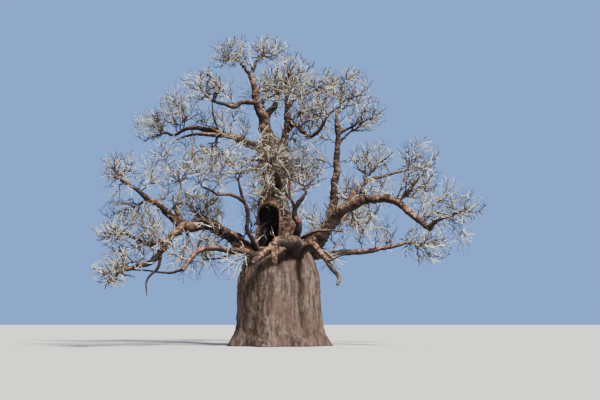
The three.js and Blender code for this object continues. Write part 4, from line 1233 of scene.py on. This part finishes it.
# Shoots: how many stand on each bough, and how many hang below some
SHOOTS = {
    "left_great_bough": 3, "left_rising_bough": 7, "left_dropping_bough": 10, "left_lower_bough": 6,
    "left_middle_limb": 3, "left_fork_limb": 1, "left_upright_limb": 3, "left_reaching_limb": 2,
    "upper_left_bough": 10, "crown_left_stem": 3, "top_left_limb": 2, "top_right_limb": 2,
    "level_bough": 2, "crown_back_bough": 3, "crown_centre_stem": 6, "right_high_limb": 2,
    "crown_right_bough": 5, "tall_right_stem": 10, "right_great_bough": 8, "right_reaching_bough": 1,
    "right_upper_bough": 5, "right_low_bough": 7, "centre_upright_limb": 2, "back_left_bough": 4,
    "back_centre_bough": 4, "back_right_bough": 4, "front_high_bough": 1,
}
HANGING_SHOOTS = {"left_great_bough": 6, "left_rising_bough": 2, "right_great_bough": 3}
SHOOT = {
    "seed": 77, "size": (0.9, 2.1), "fullness": 0.27,
    "rise": 0.75, "fall": -0.6,  # upward share in the direction of those that stand and of those that hang
    "spread": 0.6, "across": 0.7,  # unevenness of the direction, and how far it is turned off the bough's
    "first": 0.2, "last": 0.97,  # the stretch of a bough that has them, as shares of its length
    "room": 0.8,  # share of the room left within the tree's reach
    "sunk": 0.5,  # where one begins, in the bough's radii
    "stem": 0.05, "stem_share": 0.4,  # thickest stem, and thickest as a share of the bough's radius
}
SHOOT_PIECES = {"left_shoots": -4.0, "middle_shoots": 2.0, "right_shoots": math.inf}  # each up to this x
TANGLE = {
    # sprays that hang in front of the upper trunk: their heights, sizes and directions
    "seed": 913, "count": 62, "low": 9.7, "high": 13.6, "size": (0.8, 1.6), "fullness": 0.1,
    "front": -math.pi / 2, "spread": 1.7, "foot": 0.8, "out": 0.7, "across": 1.5, "rise": (-1.0, 1.2),
    "stem": 0.04, "thin_stem": 0.012,
}
HOLLOW_SPRAYS = [
    # foot, direction, size and tint of each spray before the hollow
    ((-1.6, -1.65, 6.85), (0.7, -0.2, 0.7), 0.8, 1),
    ((-1.9, -2.1, 7.4), (0.8, -0.1, 0.6), 0.9, 3),
    ((0.0, -3.55, 6.9), (-0.5, 0.2, 0.9), 0.7, 3),
]
KEPT_CLEAR = {"beside": 0.6, "above": 1.2}  # free of other sprays round the hollow
SPRAY_SHAPE = np.array([0.8, 0.8, 1.0])  # half sizes of a spray's space, in its own size
SPRAY_BEND = 0.1  # unevenness of a spray's stem, in its own size


def grow_spray(foot, out, size, stem_radius, rods, random, fullness, tints, stem_tint=0):
    """A small spray of twigs on one stem, in a space of its own beside a bough."""
    space = space_of(foot + out * size, SPRAY_SHAPE * size)
    bend = mix(foot, space["middle"], 0.5) + random.normal(size=3) * size * SPRAY_BEND
    ends = foot[None], bend[None], space["middle"][None]
    line = crooked_ways(*ends, MAIN["points"], MAIN["crooked"], random)
    layers = [layer_of(line, np.array([[NO_PARENT, NO_PARENT, 0]]), MAIN)]
    grow_finer_twigs(space, layers, near_rods(space, rods), random, fullness)
    return thicken(layers, stem_radius, random, tints, stem_tint)


def hides_hollow(middle, size):
    """Whether a spray would stand in front of the hollow."""
    beside = abs(middle[0] - HOLLOW["x"]) > HOLLOW["half_width"] + KEPT_CLEAR["beside"] * size
    top = HOLLOW["spring"] + KEPT_CLEAR["above"] + size
    return middle[1] < 0 and not beside and HOLLOW["sill"] - size < middle[2] < top


def room_for(foot, out):
    """The largest size of a spray that keeps within the tree's reach."""
    low, high = (np.array(corner) for corner in cad_box)
    up, down = (np.maximum(SPRAY_SHAPE + side, 0.01) for side in (out, -out))
    return min(np.min((high - foot) / up), np.min((foot - low) / down))


def grow_shoots(limbs, rods):
    every = np.concatenate(list(rods.values()))
    shoots = {name: [] for name in SHOOT_PIECES}
    rows = [(name, count, SHOOT["rise"]) for name, count in SHOOTS.items()]
    rows += [(name, count, SHOOT["fall"]) for name, count in HANGING_SHOOTS.items()]
    for index, (name, count, rise) in enumerate(rows):
        random = np.random.default_rng(SHOOT["seed"] + index)
        for k in range(count):
            share = SHOOT["first"] + (1 - SHOOT["first"]) * (k + random.uniform()) / count
            foot, heading, radius = place_on_limb(limbs[name], min(share, SHOOT["last"]))
            out = random.normal(size=3) * SHOOT["spread"] + np.array([0, 0, rise])
            out = unit(out - heading * dot(out, heading) * SHOOT["across"])
            size = min(random.uniform(*SHOOT["size"]), SHOOT["room"] * room_for(foot, out))
            if hides_hollow(foot + out * size, size):
                continue
            begin = foot + out * radius * SHOOT["sunk"]
            stem = min(SHOOT["stem"], radius * SHOOT["stem_share"])
            spray = grow_spray(begin, out, size + radius * SHOOT["sunk"], stem, every, random,
                               SHOOT["fullness"], TINT_SHARES)
            piece = next(label for label, edge in SHOOT_PIECES.items() if foot[0] < edge)
            shoots[piece].append(spray)
    return shoots


def grow_tangle(rods):
    """Twigs that hang in front of the upper trunk, and a few thin ones before the hollow."""
    random = np.random.default_rng(TANGLE["seed"])
    every = np.concatenate([rods[name] for name in rods if name != "trunk"])
    sprays = []

    def add(foot, out, size, stem, tint):
        sprays.append(grow_spray(foot, out, size, stem, every, random, TANGLE["fullness"], TANGLE_TINTS,
                                 tint))

    for k in range(TANGLE["count"]):
        height = mix(TANGLE["low"], TANGLE["high"], (k + random.uniform()) / TANGLE["count"])
        angle = TANGLE["front"] + random.uniform(-1, 1) * TANGLE["spread"]
        lean, radius = trunk_outline(np.array([angle]), np.array([height]))
        side = np.array([math.cos(angle), math.sin(angle), 0])
        foot = np.array([lean[0], 0, height]) + side * radius[0, 0] * TANGLE["foot"]
        across = np.array([-side[1], side[0], 0]) * random.uniform(-TANGLE["across"], TANGLE["across"])
        out = unit(side * TANGLE["out"] + across + np.array([0, 0, random.uniform(*TANGLE["rise"])]))
        size = random.uniform(*TANGLE["size"])
        if not hides_hollow(foot + out * size, 0.0):
            add(foot, out, size, TANGLE["stem"], k % len(TINTS))
    for foot, out, size, tint in HOLLOW_SPRAYS:
        add(np.array(foot), unit(np.array(out)), size, TANGLE["thin_stem"], tint)
    return sprays


# The whole tree
def make_tree():
    limbs = measure_limbs(LIMBS, LUMP_SEED)
    small = measure_limbs(SMALL_LIMBS, LUMP_SEED)
    rings = np.array(TRUNK_RINGS)
    trunk_line = np.column_stack([rings[:, 1], np.zeros(len(rings)), rings[:, 0]])
    rods = {"trunk": rods_along(trunk_line, rings[:, 2] * TRUNK_REACH)}
    for name, limb in limbs.items():
        rods[name] = rods_along(limb["line"], limb["radii"])
    make_trunk(material("trunk_bark", trunk_bark))
    limb_material = material("limb_bark", limb_bark)
    limb_nodes = bark_tree("limb_relief", True)
    for name, (sides, members) in LIMB_GROUPS.items():
        joined = [limbs[member] for member in members]
        make_limbs(name, sides, joined, limb_nodes, limb_material, members)
    make_limbs("small_limbs", SMALL_LIMB_SIDES, list(small.values()), limb_nodes, limb_material, [],
               SMALL_LIMB_END)
    materials = [material(name, twig_bark(colour)) for name, colour, _ in TINTS]
    twig_nodes = twig_tree(len(TINTS))
    grown = grow_masses(limbs, rods)
    for name, members in TWIG_GROUPS.items():
        twig_piece(name, [grown[member] for member in members], twig_nodes, materials, members)
    for name, sprays in grow_shoots(limbs, rods).items():
        twig_piece(name, sprays, twig_nodes, materials, [])
    twig_piece("hanging_tangle", grow_tangle(rods), twig_nodes, materials, [])


# Floor, light and camera
CAMERA = {
    "place": (1.45, -58.0, 1.6), "tilt": math.radians(98.33), "lens": 50.0, "sensor": 36.0, "sight": 1200.0,
}
FLOOR_HALF = 400.0  # half of the floor's side
FLOOR_DROP = 0.01  # how far the floor lies below the foot of the trunk
FLOOR_COLOUR = (0.56, 0.53, 0.47)
BACKDROP_COLOUR = (0.24, 0.46, 1.0)
FILL_COLOUR = (0.3, 0.37, 0.52)
SUN = {"energy": 11.5, "angle": math.radians(9.0), "turn": (math.radians(48), 0.0, math.radians(38))}


def make_floor():
    signs = ((-1, -1), (1, -1), (1, 1), (-1, 1))
    corners = [(x * FLOOR_HALF, y * FLOOR_HALF, -FLOOR_DROP) for x, y in signs]
    mesh = bpy.data.meshes.new("floor")
    mesh.from_pydata(corners, [], [(0, 1, 2, 3)])
    mesh.materials.append(material("pale_floor", lambda board, place: {"Base Color": FLOOR_COLOUR}))
    linked(bpy.data.objects.new("floor", mesh))


def make_light():
    world = bpy.data.worlds.new("plain_backdrop")
    world.use_nodes = True
    world.node_tree.nodes.clear()
    board = Board(world.node_tree)
    fill = board.node("ShaderNodeBackground", {}, {"Color": FILL_COLOUR})
    backdrop = board.node("ShaderNodeBackground", {}, {"Color": BACKDROP_COLOUR})
    seen = board.node("ShaderNodeLightPath", output="Is Camera Ray")
    mixed = board.node("ShaderNodeMixShader", {}, [seen, fill, backdrop])
    board.node("ShaderNodeOutputWorld", {}, {"Surface": mixed})
    bpy.context.scene.world = world
    light = bpy.data.lights.new("sun", "SUN")
    light.energy = SUN["energy"]
    light.angle = SUN["angle"]
    sun = linked(bpy.data.objects.new("sun", light))
    sun.rotation_euler = SUN["turn"]


def make_camera():
    lens = bpy.data.cameras.new("camera")
    lens.lens = CAMERA["lens"]
    lens.sensor_width = CAMERA["sensor"]
    lens.clip_end = CAMERA["sight"]
    camera = linked(bpy.data.objects.new("camera", lens))
    camera.location = CAMERA["place"]
    camera.rotation_euler = (CAMERA["tilt"], 0, 0)
    bpy.context.scene.camera = camera


make_tree()
make_floor()
make_light()
make_camera()
